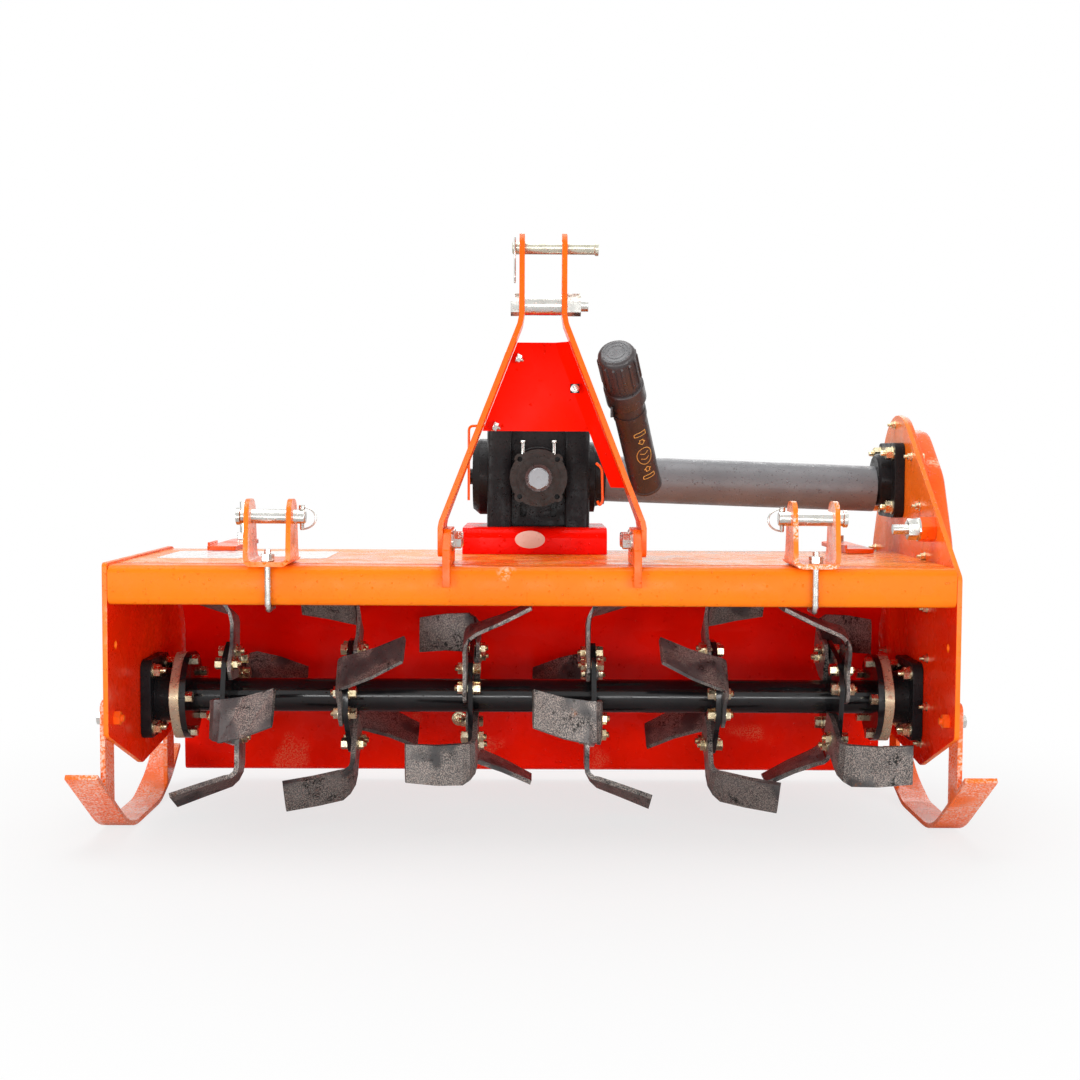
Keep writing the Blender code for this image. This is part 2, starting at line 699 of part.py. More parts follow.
def make_gearbox():
    top = BOX_FOOT + BOX_HEIGHT
    recess = BOX_FRONT + BOX_RECESS
    corners = [
        (BOX_LEFT, BOX_FRONT), (BOX_LEFT + BOX_PILLAR, BOX_FRONT), (BOX_LEFT + BOX_PILLAR, recess),
        (BOX_RIGHT - BOX_PILLAR, recess), (BOX_RIGHT - BOX_PILLAR, BOX_FRONT), (BOX_RIGHT, BOX_FRONT),
        (BOX_RIGHT, BOX_BACK), (BOX_LEFT, BOX_BACK)]
    rounds = (1.0, 0.5, 0.0, 0.0, 0.5, 1.0, 2.0, 2.0)
    outline = filleted([(x, y, BOX_CORNER * r) for (x, y), r in zip(corners, rounds)], step=radians(45.0))
    case = prism("Z", outline, BOX_FOOT, top)
    face = FLANGE_FACE_Y + INPUT_LIP
    neck_back = recess + CASTING_LAP
    neck_front = face + INPUT_FLANGE / 4.0
    neck = turned((INPUT_X, neck_back, INPUT_Z), (0.0, -1.0, 0.0), (
        (0.0, NECK_RADIUS + NECK_FLARE), (NECK_TAPER, NECK_RADIUS),
        (neck_back - neck_front, NECK_RADIUS)), 20)
    flange = turned((INPUT_X, face + INPUT_FLANGE, INPUT_Z), (0.0, -1.0, 0.0), (
        (0.0, INPUT_FLANGE_RADIUS), (INPUT_FLANGE, INPUT_FLANGE_RADIUS), (INPUT_FLANGE, INPUT_LIP_RADIUS),
        (INPUT_FLANGE + INPUT_LIP, INPUT_LIP_RADIUS)), 24)
    ears = [prism("Y", circle(x, z, radius, 10), face + INPUT_EAR_SET, face + INPUT_FLANGE - INPUT_EAR_SET)
            for x, z, radius in input_ears(INPUT_EAR)]
    left = turned((BOX_LEFT + CASTING_LAP, DRIVE_Y, INPUT_Z), (-1.0, 0.0, 0.0), (
        (0.0, SIDE_COVER_RADIUS), (CASTING_LAP + SIDE_COVER_RIM, SIDE_COVER_RADIUS),
        (CASTING_LAP + SIDE_COVER_DEPTH, SIDE_COVER_RADIUS - SIDE_COVER_TAPER)), 20)
    plug = bar((BOX_LEFT, DRIVE_Y, INPUT_Z),
               (BOX_LEFT - SIDE_COVER_DEPTH - SIDE_PLUG_DEPTH, DRIVE_Y, INPUT_Z), SIDE_PLUG_RADIUS, 10)
    boss = OUTPUT_FLANGE_RADIUS - OUTPUT_STEP
    rim = CASTING_LAP + OUTPUT_RIM
    right = turned((BOX_RIGHT - CASTING_LAP, DRIVE_Y, INPUT_Z), (1.0, 0.0, 0.0), (
        (0.0, OUTPUT_FLANGE_RADIUS), (rim, OUTPUT_FLANGE_RADIUS), (rim + 0.002, boss),
        (CASTING_LAP + OUTPUT_FLANGE_DEPTH, boss - OUTPUT_TAPER)), 20)
    body = fused(case, neck, flange, *ears, left, plug, right)
    bore = bar((INPUT_X, FLANGE_FACE_Y - 0.01, INPUT_Z),
               (INPUT_X, FLANGE_FACE_Y + INPUT_BORE_DEPTH, INPUT_Z), INPUT_BORE, 20)
    holes = [bar((x, FLANGE_FACE_Y - 0.01, z), (x, FLANGE_FACE_Y + INPUT_FLANGE * 0.8, z), INPUT_HOLE, 5)
             for x, z, r in input_ears(0.0)]
    piece("gearbox", cut(body, bore, *holes), "black")


def make_guard():
    """Plastic tube over the cross shaft, which hangs a little low at its outer end."""
    start = BOX_RIGHT + OUTPUT_FLANGE_DEPTH
    end = PLATE_IN - GAP - BEARING_SLAB_THICK - DRIVE_BARREL_LENGTH
    span = end - start
    lean = atan2(GUARD_DROP, span)
    inset = GUARD_RADIUS * sin(lean) + GAP
    length = span / cos(lean) - 2.0 * inset
    direction = Vector((cos(lean), 0.0, -sin(lean)))
    origin = Vector((start, DRIVE_Y, DRIVE_Z)) + direction * inset
    inner = GUARD_RADIUS - GUARD_WALL
    tube = turned(origin, direction, (
        (0.0, inner), (0.0, GUARD_RADIUS), (length, GUARD_RADIUS), (length, inner)), 24, bored=True)
    piece("drive_shaft_guard", tube, "plastic")


# Mast for the top link

PIN_Z = BEAM_TOP + TOP_PIN_ABOVE
EAR_MIDDLE = (MAST_JAW + MAST_PLATE) / 2.0
MAST_BEND_Z = PIN_Z - MAST_BEND_BELOW
FOOT_BEND_Z = BEAM_TOP + LUG_HEIGHT + MAST_FOOT_BEND
SPACER_Z = PIN_Z - SPACER_BELOW


def leg_middle(z):
    """Distance of a mast plate's middle from the hitch line."""
    if z >= MAST_BEND_Z:
        return EAR_MIDDLE
    if z <= FOOT_BEND_Z:
        return MAST_FOOT_HALF
    return EAR_MIDDLE + (MAST_FOOT_HALF - EAR_MIDDLE) * (MAST_BEND_Z - z) / (MAST_BEND_Z - FOOT_BEND_Z)


def leg_back(z):
    """Back edge of a mast plate between its foot and its bend."""
    low = FOOT_BEND_Z + LEG_LOW_RISE
    share = (z - low) / (MAST_BEND_Z - low)
    return MAST_Y + LEG_DEPTH_LOW + (LEG_DEPTH_HIGH - LEG_DEPTH_LOW) * share


LEG_SLOPE = atan2(MAST_FOOT_HALF - EAR_MIDDLE, MAST_BEND_Z - FOOT_BEND_Z)
LEG_SKIN = MAST_PLATE / 2.0 / cos(LEG_SLOPE)


def make_mast_legs():
    foot = BEAM_TOP + MAST_FOOT_LIFT
    side_outline = filleted([
        (MAST_Y - EAR_RADIUS, foot, MAST_FOOT_ROUND), (MAST_FOOT_BACK, foot, MAST_FOOT_ROUND),
        (MAST_FOOT_BACK, FOOT_BEND_Z - 0.010, 0.020),
        (MAST_Y + LEG_DEPTH_LOW, FOOT_BEND_Z + LEG_LOW_RISE, 0.060),
        (MAST_Y + LEG_DEPTH_HIGH, MAST_BEND_Z, 0.100), (MAST_Y + EAR_RADIUS, MAST_BEND_Z + 0.050, 0.050),
        (MAST_Y + EAR_RADIUS, PIN_Z + EAR_RADIUS, EAR_RADIUS - 0.0001),
        (MAST_Y - EAR_RADIUS, PIN_Z + EAR_RADIUS, EAR_RADIUS - 0.0001)])
    for name, side in SIDES:
        path = filleted([(HITCH_X + side * a, b, r) for a, b, r in (
            (EAR_MIDDLE, PIN_Z + EAR_RADIUS + 0.01, 0.0), (EAR_MIDDLE, MAST_BEND_Z, MAST_BEND_RADIUS),
            (MAST_FOOT_HALF, FOOT_BEND_Z, FOOT_BEND_RADIUS), (MAST_FOOT_HALF, foot - 0.01, 0.0))],
            closed=False)
        bent = prism("Y", thickened(path, MAST_PLATE), MAST_Y - 0.10, MAST_FOOT_BACK + 0.10)
        low, high = sorted((HITCH_X, HITCH_X + side * (MAST_FOOT_HALF + 0.03)))
        leg = common(bent, prism("X", side_outline, low, high))
        ends = (HITCH_X, HITCH_X + side * 0.1)
        holes = [bar((ends[0], MAST_Y, z), (ends[1], MAST_Y, z), radius + PIN_PLAY, 16)
                 for z, radius in ((PIN_Z, TOP_PIN_RADIUS), (SPACER_Z, SPACER_BOLT_RADIUS))]
        piece(name + "_mast_leg", cut(leg, *holes), "orange")


def make_mast_lugs():
    """Plates welded over the beam, to which the mast's feet are bolted."""
    over = BEAM_TOP + GAP
    top = over + LUG_HEIGHT
    outline = filleted([
        (-LUG_NOSE, BEAM_TOP - LUG_HOOK, 0.0), (-GAP, BEAM_TOP - LUG_HOOK, 0.0), (-GAP, over, 0.0),
        (LUG_BACK, over, 0.0), (LUG_BACK, top - LUG_CORNER, 0.0), (LUG_BACK - LUG_CORNER, top, 0.0),
        (LUG_FRONT_TOP, top, 0.0), (-LUG_NOSE, top - LUG_FRONT_DROP, 0.0)])
    outer = MAST_FOOT_HALF - MAST_PLATE / 2.0 - GAP
    for name, side in SIDES:
        ends = sorted((HITCH_X + side * outer, HITCH_X + side * (outer - LUG_PLATE)))
        piece(name + "_mast_lug", prism("X", outline, *ends), "orange")


def make_mast_guard():
    """Sheet between the legs with a folded wing down the right leg."""
    def inner(z):
        return leg_middle(z) - LEG_SKIN - GAP

    high = MAST_BEND_Z - GUARD_TOP_BELOW
    low = high - GUARD_SHEET_HEIGHT
    back = GUARD_SHEET_Y + WING_BACK
    panel = prism("Y", [
        (HITCH_X - inner(low), low), (HITCH_X + inner(low) - WING_WIDTH, low),
        (HITCH_X + inner(high) - WING_WIDTH, high), (HITCH_X - inner(high), high)], back - GUARD_SHEET, back)
    rings = []
    for z in (BEAM_TOP + WING_LOW, high):
        edge = HITCH_X + inner(z)
        rings.append([
            (edge, GUARD_SHEET_Y - GUARD_SHEET, z), (edge, GUARD_SHEET_Y, z),
            (edge - WING_WIDTH, back, z), (edge - WING_WIDTH - 0.003, back - 0.001, z),
            (edge - WING_WIDTH - 0.003, back - GUARD_SHEET, z)])
    piece("mast_guard", fused(panel, lofted(rings)), "orange")


def make_mast_pins():
    ear = EAR_MIDDLE + MAST_PLATE / 2.0
    length = 2.0 * ear + TOP_PIN_SHORT + TOP_PIN_LONG
    collar = length - TOP_PIN_HEAD
    pin = turned((HITCH_X - ear - TOP_PIN_SHORT, MAST_Y, PIN_Z), (1.0, 0.0, 0.0), (
        (0.0, TOP_PIN_RADIUS - 0.002), (0.002, TOP_PIN_RADIUS), (collar, TOP_PIN_RADIUS),
        (collar + 0.001, TOP_PIN_HEAD_RADIUS), (length, TOP_PIN_HEAD_RADIUS)), 16)
    piece("top_link_pin", pin, "zinc")
    inner = MAST_JAW / 2.0 - GAP
    spacer = bar((HITCH_X - inner, MAST_Y, SPACER_Z), (HITCH_X + inner, MAST_Y, SPACER_Z), SPACER_RADIUS, 20)
    left = HITCH_X - ear
    right = HITCH_X + ear
    bolt = bar((left - SPACER_BOLT_HEAD / 2.0, MAST_Y, SPACER_Z),
               (right + SPACER_BOLT_END, MAST_Y, SPACER_Z), SPACER_BOLT_RADIUS, 16)
    head = hexagon((left - GAP, MAST_Y, SPACER_Z), (left - SPACER_BOLT_HEAD, MAST_Y, SPACER_Z),
                   SPACER_BOLT_ACROSS)
    nut = hexagon((right + GAP, MAST_Y, SPACER_Z), (right + SPACER_BOLT_NUT, MAST_Y, SPACER_Z),
                  SPACER_BOLT_ACROSS)
    piece("mast_spacer_bolt", fused(spacer, bolt, head, nut), "zinc")


# Lower hitch

CLEVIS_PIN_Z = BEAM_TOP + CLEVIS_PIN_ABOVE
CLEVIS_OUTER = CLEVIS_JAW / 2.0 + CLEVIS_PLATE


def make_clevises():
    """Two bent U plates on the beam, each with its pin and the hook bolt that holds it."""
    low = BEAM_TOP + GAP
    floor = low + CLEVIS_PLATE
    high = CLEVIS_PIN_Z + CLEVIS_EAR_RADIUS
    pin_front = CLEVIS_PIN_Y - CLEVIS_EAR_RADIUS
    pin_back = CLEVIS_PIN_Y + CLEVIS_EAR_RADIUS
    side_outline = filleted([
        (CLEVIS_FRONT, low, 0.0), (CLEVIS_BACK, low, 0.0), (CLEVIS_BACK, floor, 0.0),
        (CLEVIS_EAR_BACK + CLEVIS_ROOT_BACK, floor, 0.0),
        (CLEVIS_EAR_BACK, floor + CLEVIS_ROOT, CLEVIS_ROOT_ROUND),
        (pin_back, high, CLEVIS_EAR_ROUND), (pin_front, high, CLEVIS_EAR_ROUND),
        (CLEVIS_EAR_FRONT, floor + CLEVIS_ROOT, CLEVIS_ROOT_ROUND), (CLEVIS_EAR_FRONT, floor, 0.0),
        (CLEVIS_FRONT, floor, 0.0)])
    hook_y = -HOOK_BOLT_RADIUS - GAP
    hook_z = BEAM_BOTTOM - HOOK_BOLT_RADIUS - GAP
    hook_path = filleted([
        (hook_y, floor + HOOK_BOLT_UP, 0.0), (hook_y, hook_z, HOOK_BOLT_BEND),
        (HOOK_BOLT_BACK, hook_z, 0.0)],
        closed=False, step=radians(22.5))
    for name, side in SIDES:
        x = HITCH_X + side * CLEVIS_HALF_SPAN
        wall = CLEVIS_OUTER - CLEVIS_PLATE / 2.0
        path = filleted([
            (x - wall, high + 0.01, 0.0), (x - wall, low + CLEVIS_PLATE / 2.0, CLEVIS_BEND),
            (x + wall, low + CLEVIS_PLATE / 2.0, CLEVIS_BEND), (x + wall, high + 0.01, 0.0)], closed=False)
        bent = prism("Y", thickened(path, CLEVIS_PLATE), CLEVIS_FRONT - 0.01, CLEVIS_BACK + 0.01)
        clevis = common(bent, prism("X", side_outline, x - CLEVIS_OUTER - 0.01, x + CLEVIS_OUTER + 0.01))
        pin_hole = bar((x - 0.06, CLEVIS_PIN_Y, CLEVIS_PIN_Z), (x + 0.06, CLEVIS_PIN_Y, CLEVIS_PIN_Z),
                       CLEVIS_PIN_RADIUS + PIN_PLAY, 16)
        bolt_hole = bar((x, hook_y, low - 0.01), (x, hook_y, floor + 0.01), HOOK_BOLT_RADIUS + PIN_PLAY, 12)
        piece(name + "_clevis", cut(clevis, pin_hole, bolt_hole), "orange")
        collar = CLEVIS_PIN_LENGTH - CLEVIS_PIN_HEAD
        start = x - side * (CLEVIS_OUTER + CLEVIS_PIN_SHORT)
        pin = turned((start, CLEVIS_PIN_Y, CLEVIS_PIN_Z), (side, 0.0, 0.0), (
            (0.0, CLEVIS_PIN_RADIUS - 0.002), (0.002, CLEVIS_PIN_RADIUS),
            (collar - 0.001, CLEVIS_PIN_RADIUS),
            (collar, CLEVIS_PIN_RADIUS + 0.002), (CLEVIS_PIN_LENGTH, CLEVIS_PIN_RADIUS + 0.002)), 16)
        piece(name + "_clevis_pin", pin, "zinc")
        rings = []
        for index, (y, z) in enumerate(hook_path):
            before = Vector(hook_path[max(index - 1, 0)])
            after = Vector(hook_path[min(index + 1, len(hook_path) - 1)])
            along = (after - before).normalized()
            ring = []
            for a, b in circle(0.0, 0.0, HOOK_BOLT_RADIUS, 10):
                ring.append((x + a, y - along.y * b, z + along.x * b))
            rings.append(ring)
        nut = hexagon((x, hook_y, floor + GAP), (x, hook_y, floor + HOOK_NUT), HOOK_NUT_ACROSS)
        piece(name + "_hook_bolt", fused(lofted(rings), nut), "zinc")


# Skids, deck brackets and small fittings

def make_skids():
    """Bent straps outside the plates with two upright tabs each."""
    lift = SKID_PLATE / 2.0
    path = filleted([(y, z + lift, r) for y, z, r in SKID_PATH], closed=False, step=radians(6.0))
    strap_outline = thickened(path, SKID_PLATE)

    def strap_z(y):
        for (a, b), (c, d) in zip(path, path[1:]):
            if a <= y <= c:
                return b + (d - b) * (y - a) / (c - a)
        return path[-1][1]

    for name, side in SIDES:
        inner = side * (BODY_HALF + GAP)
        outer = side * (BODY_HALF + SKID_WIDTH)
        parts = [prism("X", strap_outline, *sorted((inner, outer)))]
        for front, back, top in SKID_TABS:
            outline = filleted([
                (front, strap_z(front), 0.0), (back, strap_z(back), 0.0),
                (back, top, SKID_TAB_ROUND), (front, top, SKID_TAB_ROUND)])
            parts.append(prism("X", outline, *sorted((inner, inner + side * SKID_PLATE))))
        piece(name + "_skid", fused(*parts), "orange")


def make_rod_brackets():
    """Arms welded on the deck that guide the sprung rods of the tail board."""
    low = BEAM_TOP + GAP
    for name, side in SIDES:
        x = HITCH_X + side * ROD_HALF_SPAN
        half = BRACKET_WIDTH / 2.0
        plate = prism("Z", filleted([
            (x - half, BRACKET_FRONT, 0.006), (x + half, BRACKET_FRONT, 0.006),
            (x + half, BRACKET_BACK, 0.018), (x - half, BRACKET_BACK, 0.018)]), low, low + BRACKET_PLATE)
        web = prism("X", box_outline(
            BRACKET_FRONT + BRACKET_PLATE, low + BRACKET_PLATE / 2.0, DECK_REAR, low + BRACKET_RIB),
            x - half, x - half + SHEET)
        slot = filleted([
            (x - SLOT_RADIUS, BRACKET_SLOT_Y - SLOT_HALF, SLOT_RADIUS - 0.0001),
            (x + SLOT_RADIUS, BRACKET_SLOT_Y - SLOT_HALF, SLOT_RADIUS - 0.0001),
            (x + SLOT_RADIUS, BRACKET_SLOT_Y + SLOT_HALF, SLOT_RADIUS - 0.0001),
            (x - SLOT_RADIUS, BRACKET_SLOT_Y + SLOT_HALF, SLOT_RADIUS - 0.0001)])
        slot = prism("Z", slot, low - 0.01, low + BRACKET_PLATE + 0.01)
        piece(name + "_rod_bracket", cut(fused(plate, web), slot), "orange")


def make_side_stud():
    """Hexagon boss, washer, nut and stud inside the tower plate."""
    face = PLATE_IN - GAP
    z = BEAM_TOP + STUD_ABOVE

    def inward(depth):
        return (face - depth, STUD_Y, z)

    boss = hexagon(inward(0.0), inward(STUD_BOSS_LENGTH), STUD_BOSS_ACROSS)
    washer = bar(inward(STUD_BOSS_LENGTH - GAP), inward(STUD_NUT_START), STUD_WASHER_RADIUS, 20)
    nut = hexagon(inward(STUD_NUT_START - GAP), inward(STUD_NUT_END), STUD_NUT_ACROSS, radians(15.0))
    stud = bar(inward(STUD_NUT_END - GAP), inward(STUD_REACH), STUD_RADIUS, 14)
    piece("side_stud", fused(boss, washer, nut, stud), "zinc")


def make_manual_tube():
    """Closed plastic tube for the papers, clamped to the right mast leg."""
    top = Vector(TUBE_TOP)
    along = Vector(TUBE_FOOT) - top
    length = along.length
    cap_end = TUBE_CAP_LENGTH
    collar_end = cap_end + TUBE_COLLAR_LENGTH
    tube = turned(top, along, (
        (0.0, TUBE_CAP - TUBE_ROUND), (TUBE_ROUND, TUBE_CAP), (cap_end, TUBE_CAP),
        (cap_end + 0.002, TUBE_COLLAR), (collar_end, TUBE_COLLAR), (collar_end + 0.004, TUBE_RADIUS),
        (length - TUBE_ROUND, TUBE_RADIUS), (length, TUBE_RADIUS - TUBE_ROUND)), 18)
    centre = top + along * ((top.z - GRIP_Z) / (top.z - TUBE_FOOT[2]))
    half = GRIP_HEIGHT / 2.0
    back = leg_back(GRIP_Z - half) + GAP
    strap = prism("Z", box_outline(
        HITCH_X + leg_middle(GRIP_Z), back, centre.x + GRIP_HALF_WIDTH, back + GRIP_STRAP),
        GRIP_Z - half, GRIP_Z + half)
    block = prism("Z", box_outline(
        centre.x - GRIP_HALF_WIDTH, back, centre.x + GRIP_HALF_WIDTH, centre.y - TUBE_RADIUS / 2.0),
        GRIP_Z - half, GRIP_Z + half)
    piece("manual_tube", fused(tube, strap, block), "plastic")


# Rotor, turning on the long axis under the hood

def axis_empty(name, point, parent=None):
    """Empty on a joint's axis that carries the moving pieces."""
    empty = bpy.data.objects.new(name, None)
    bpy.context.scene.collection.objects.link(empty)
    parent = parent or root
    empty.parent = parent
    empty.location = Vector(point) - Vector(parent.get("axis_point", (0.0, 0.0, 0.0)))
    empty["axis_point"] = point
    return empty


def around_rotor(x, angle, radius, sideways=0.0):
    """Point at an angle round the rotor: 0 is back, 90 degrees is up, 180 is front."""
    y = ROTOR_Y + radius * cos(angle) - sideways * sin(angle)
    z = ROTOR_Z + radius * sin(angle) + sideways * cos(angle)
    return (x, y, z)


def tine_stations():
    """Cross-sections of a tine: side, out and lead of its middle, lean, half width, pitch."""
    middle = -(FLANGE_THICK + TINE_THICK) / 2.0
    stations = []
    for out, trailing, leading in SHANK:
        stations.append((middle, out, (leading + trailing) / 2.0, 0.0, (leading - trailing) / 2.0, 0.0))
    start, trailing, leading = SHANK[-1]
    lead = (leading + trailing) / 2.0
    half = (leading - trailing) / 2.0
    turns = 3
    for turn in range(1, turns + 1):
        share = turn / turns
        lean = TINE_BEND_ANGLE * share
        stations.append((
            middle + TINE_BEND * (1.0 - cos(lean)), start + TINE_BEND * sin(lean),
            lead + BLADE_TIP_LEAD * share, lean,
            half + (BLADE_ROOT_WIDTH / 2.0 - half) * share, BLADE_PITCH_ROOT * share))
    side, out, lead, lean, half, pitch = stations[-1]
    for share in (0.45, 1.0):
        stations.append((
            side + (TINE_SPREAD - side) * share, out + (BLADE_TIP_RADIUS - out) * share,
            lead + (BLADE_TIP_LEAD - lead) * share ** 1.4, lean,
            half + (BLADE_TIP_WIDTH / 2.0 - half) * share, pitch + (BLADE_PITCH_TIP - pitch) * share))
    return stations


def tine(flange_x, angle, side):
    """Blade bolted to the far face of its flange. It bends across the flange and trails."""
    rings = []
    for aside, out, lead, lean, half, pitch in tine_stations():
        along = Vector((sin(lean), cos(lean), 0.0))
        across = Vector((0.0, sin(pitch), cos(pitch)))
        skin = across.cross(along).normalized() * (TINE_THICK / 2.0)
        middle = Vector((aside, out, lead))
        trailing = middle - across * half
        leading = middle + across * half
        section = (trailing + skin, trailing - skin, leading - across * BLADE_SHARPEN - skin,
                   leading - skin * 0.4, leading + skin)
        rings.append([
            around_rotor(flange_x + side * point.x, angle, point.y, point.z) for point in section])
    return lofted(rings)


def make_tine_sets(rotor):
    """Six flanges, each with two tines to the left and two to the right."""
    axis = (0.0, ROTOR_Y, ROTOR_Z)
    half_flange = FLANGE_THICK / 2.0
    for index in range(FLANGE_COUNT):
        x = FLANGE_FIRST_X + FLANGE_PITCH * index
        phase = TINE_FIRST + TINE_STEP * (index % 3)
        first = 1.0 if index < FLANGE_COUNT / 2 else -1.0
        tines = [(phase + quarter * pi / 2.0, first * (-1.0) ** quarter) for quarter in range(4)]
        bolts = [(angle + lead, side) for angle, side in tines for lead in TINE_BOLT_LEADS]
        rims = []
        for angle, side in bolts:
            rims.append(around_rotor(x, angle, TINE_BOLT_RADIUS)[1:] + (FLANGE_RIM,))
        outline = belt(rims, 8)
        flange = prism("X", outline, x - half_flange, x + half_flange)
        bore = bar((x - half_flange * 2.0, ROTOR_Y, ROTOR_Z), (x + half_flange * 2.0, ROTOR_Y, ROTOR_Z),
                   ROTOR_TUBE_RADIUS + GAP, 20)
        parts = [tine(x, angle, side) for angle, side in tines]
        for angle, side in bolts:
            head = x + side * (half_flange + TINE_BOLT_HEAD)
            nut = x - side * (half_flange + TINE_THICK + TINE_NUT)
            parts.append(hexagon(around_rotor(nut, angle, TINE_BOLT_RADIUS),
                                 around_rotor(head, angle, TINE_BOLT_RADIUS), TINE_BOLT_ACROSS, angle))
        piece("tine_set_%d" % (index + 1), fused(cut(flange, bore), *parts), "tine", axis, rotor)


def make_rotor():
    axis = (0.0, ROTOR_Y, ROTOR_Z)
    rotor = axis_empty("rotor_axis", axis)
    barrel_end = PLATE_IN - GAP - BEARING_SLAB_THICK - ROTOR_BARREL_LENGTH
    hub_out = barrel_end - HUB_RUNNING_GAP
    hub_in = hub_out - HUB_LENGTH
    flange_out = hub_in - GAP
    flange_in = flange_out - END_FLANGE
    tube = turned((-flange_out, ROTOR_Y, ROTOR_Z), (1.0, 0.0, 0.0), (
        (0.0, HUB_RADIUS - 0.001), (END_FLANGE, HUB_RADIUS - 0.001), (END_FLANGE, ROTOR_TUBE_RADIUS),
        (flange_out + flange_in, ROTOR_TUBE_RADIUS), (flange_out + flange_in, HUB_RADIUS - 0.001),
        (2.0 * flange_out, HUB_RADIUS - 0.001)), 20)
    bolts = []
    for side in (-1.0, 1.0):
        for bolt in range(HUB_LOBES):
            angle = pi - END_BOLT_FIRST - 2.0 * pi * bolt / HUB_LOBES
            start = around_rotor(side * (flange_in + 0.002), angle, END_BOLT_CIRCLE)
            end = around_rotor(side * (flange_in - END_BOLT_HEAD), angle, END_BOLT_CIRCLE)
            bolts.append(hexagon(start, end, END_BOLT_ACROSS))
    piece("rotor_tube", fused(tube, *bolts), "black", axis, rotor)
    for name, side in SIDES:
        outline = []
        steps = 35
        for step in range(steps):
            angle = 2.0 * pi * step / steps
            lobe = cos(HUB_LOBES * (angle - pi + END_BOLT_FIRST))
            radius = HUB_RADIUS - HUB_LOBE_DEPTH * (0.5 - 0.5 * lobe)
            outline.append((ROTOR_Y + radius * cos(angle), ROTOR_Z + radius * sin(angle)))
        ring = prism("X", outline, *sorted((side * hub_out, side * hub_in)))
        stub = bar((side * (hub_in + 0.004), ROTOR_Y, ROTOR_Z),
                   (side * (PLATE_IN - 0.002), ROTOR_Y, ROTOR_Z), STUB_RADIUS, 24)
        piece(name + "_rotor_hub", fused(ring, stub), "gold", axis, rotor)
    make_tine_sets(rotor)


def make_input_shaft():
    """Splined stub that the tractor's drive shaft slides on."""
    axis = (INPUT_X, FLANGE_FACE_Y, INPUT_Z)
    pivot = axis_empty("input_axis", axis)
    front = FLANGE_FACE_Y - INPUT_STUB
    back = FLANGE_FACE_Y + INPUT_BORE_DEPTH - GAP
    outline = []
    for tooth in range(SPLINE_COUNT):
        for share, inset in ((-0.27, 1.0), (-0.23, 0.0), (0.23, 0.0), (0.27, 1.0)):
            angle = 2.0 * pi * (tooth + share) / SPLINE_COUNT
            radius = INPUT_SHAFT_RADIUS - SPLINE_DEPTH * inset
            outline.append((INPUT_X + radius * sin(angle), INPUT_Z + radius * cos(angle)))
    groove = front + GROOVE_PLACE
    nose = prism("Y", outline, front, groove)
    neck = bar((INPUT_X, groove - 0.002, INPUT_Z), (INPUT_X, groove + GROOVE_WIDTH + 0.002, INPUT_Z),
               INPUT_SHAFT_RADIUS - 0.004, 16)
    shaft = prism("Y", outline, groove + GROOVE_WIDTH, FLANGE_FACE_Y + 0.004)
    collar = bar((INPUT_X, FLANGE_FACE_Y, INPUT_Z), (INPUT_X, back, INPUT_Z), INPUT_BORE - 0.003, 20)
    piece("input_shaft", fused(shaft, nose, neck, collar), "zinc", axis, pivot)


# Tail board and the two sprung rods that press it down

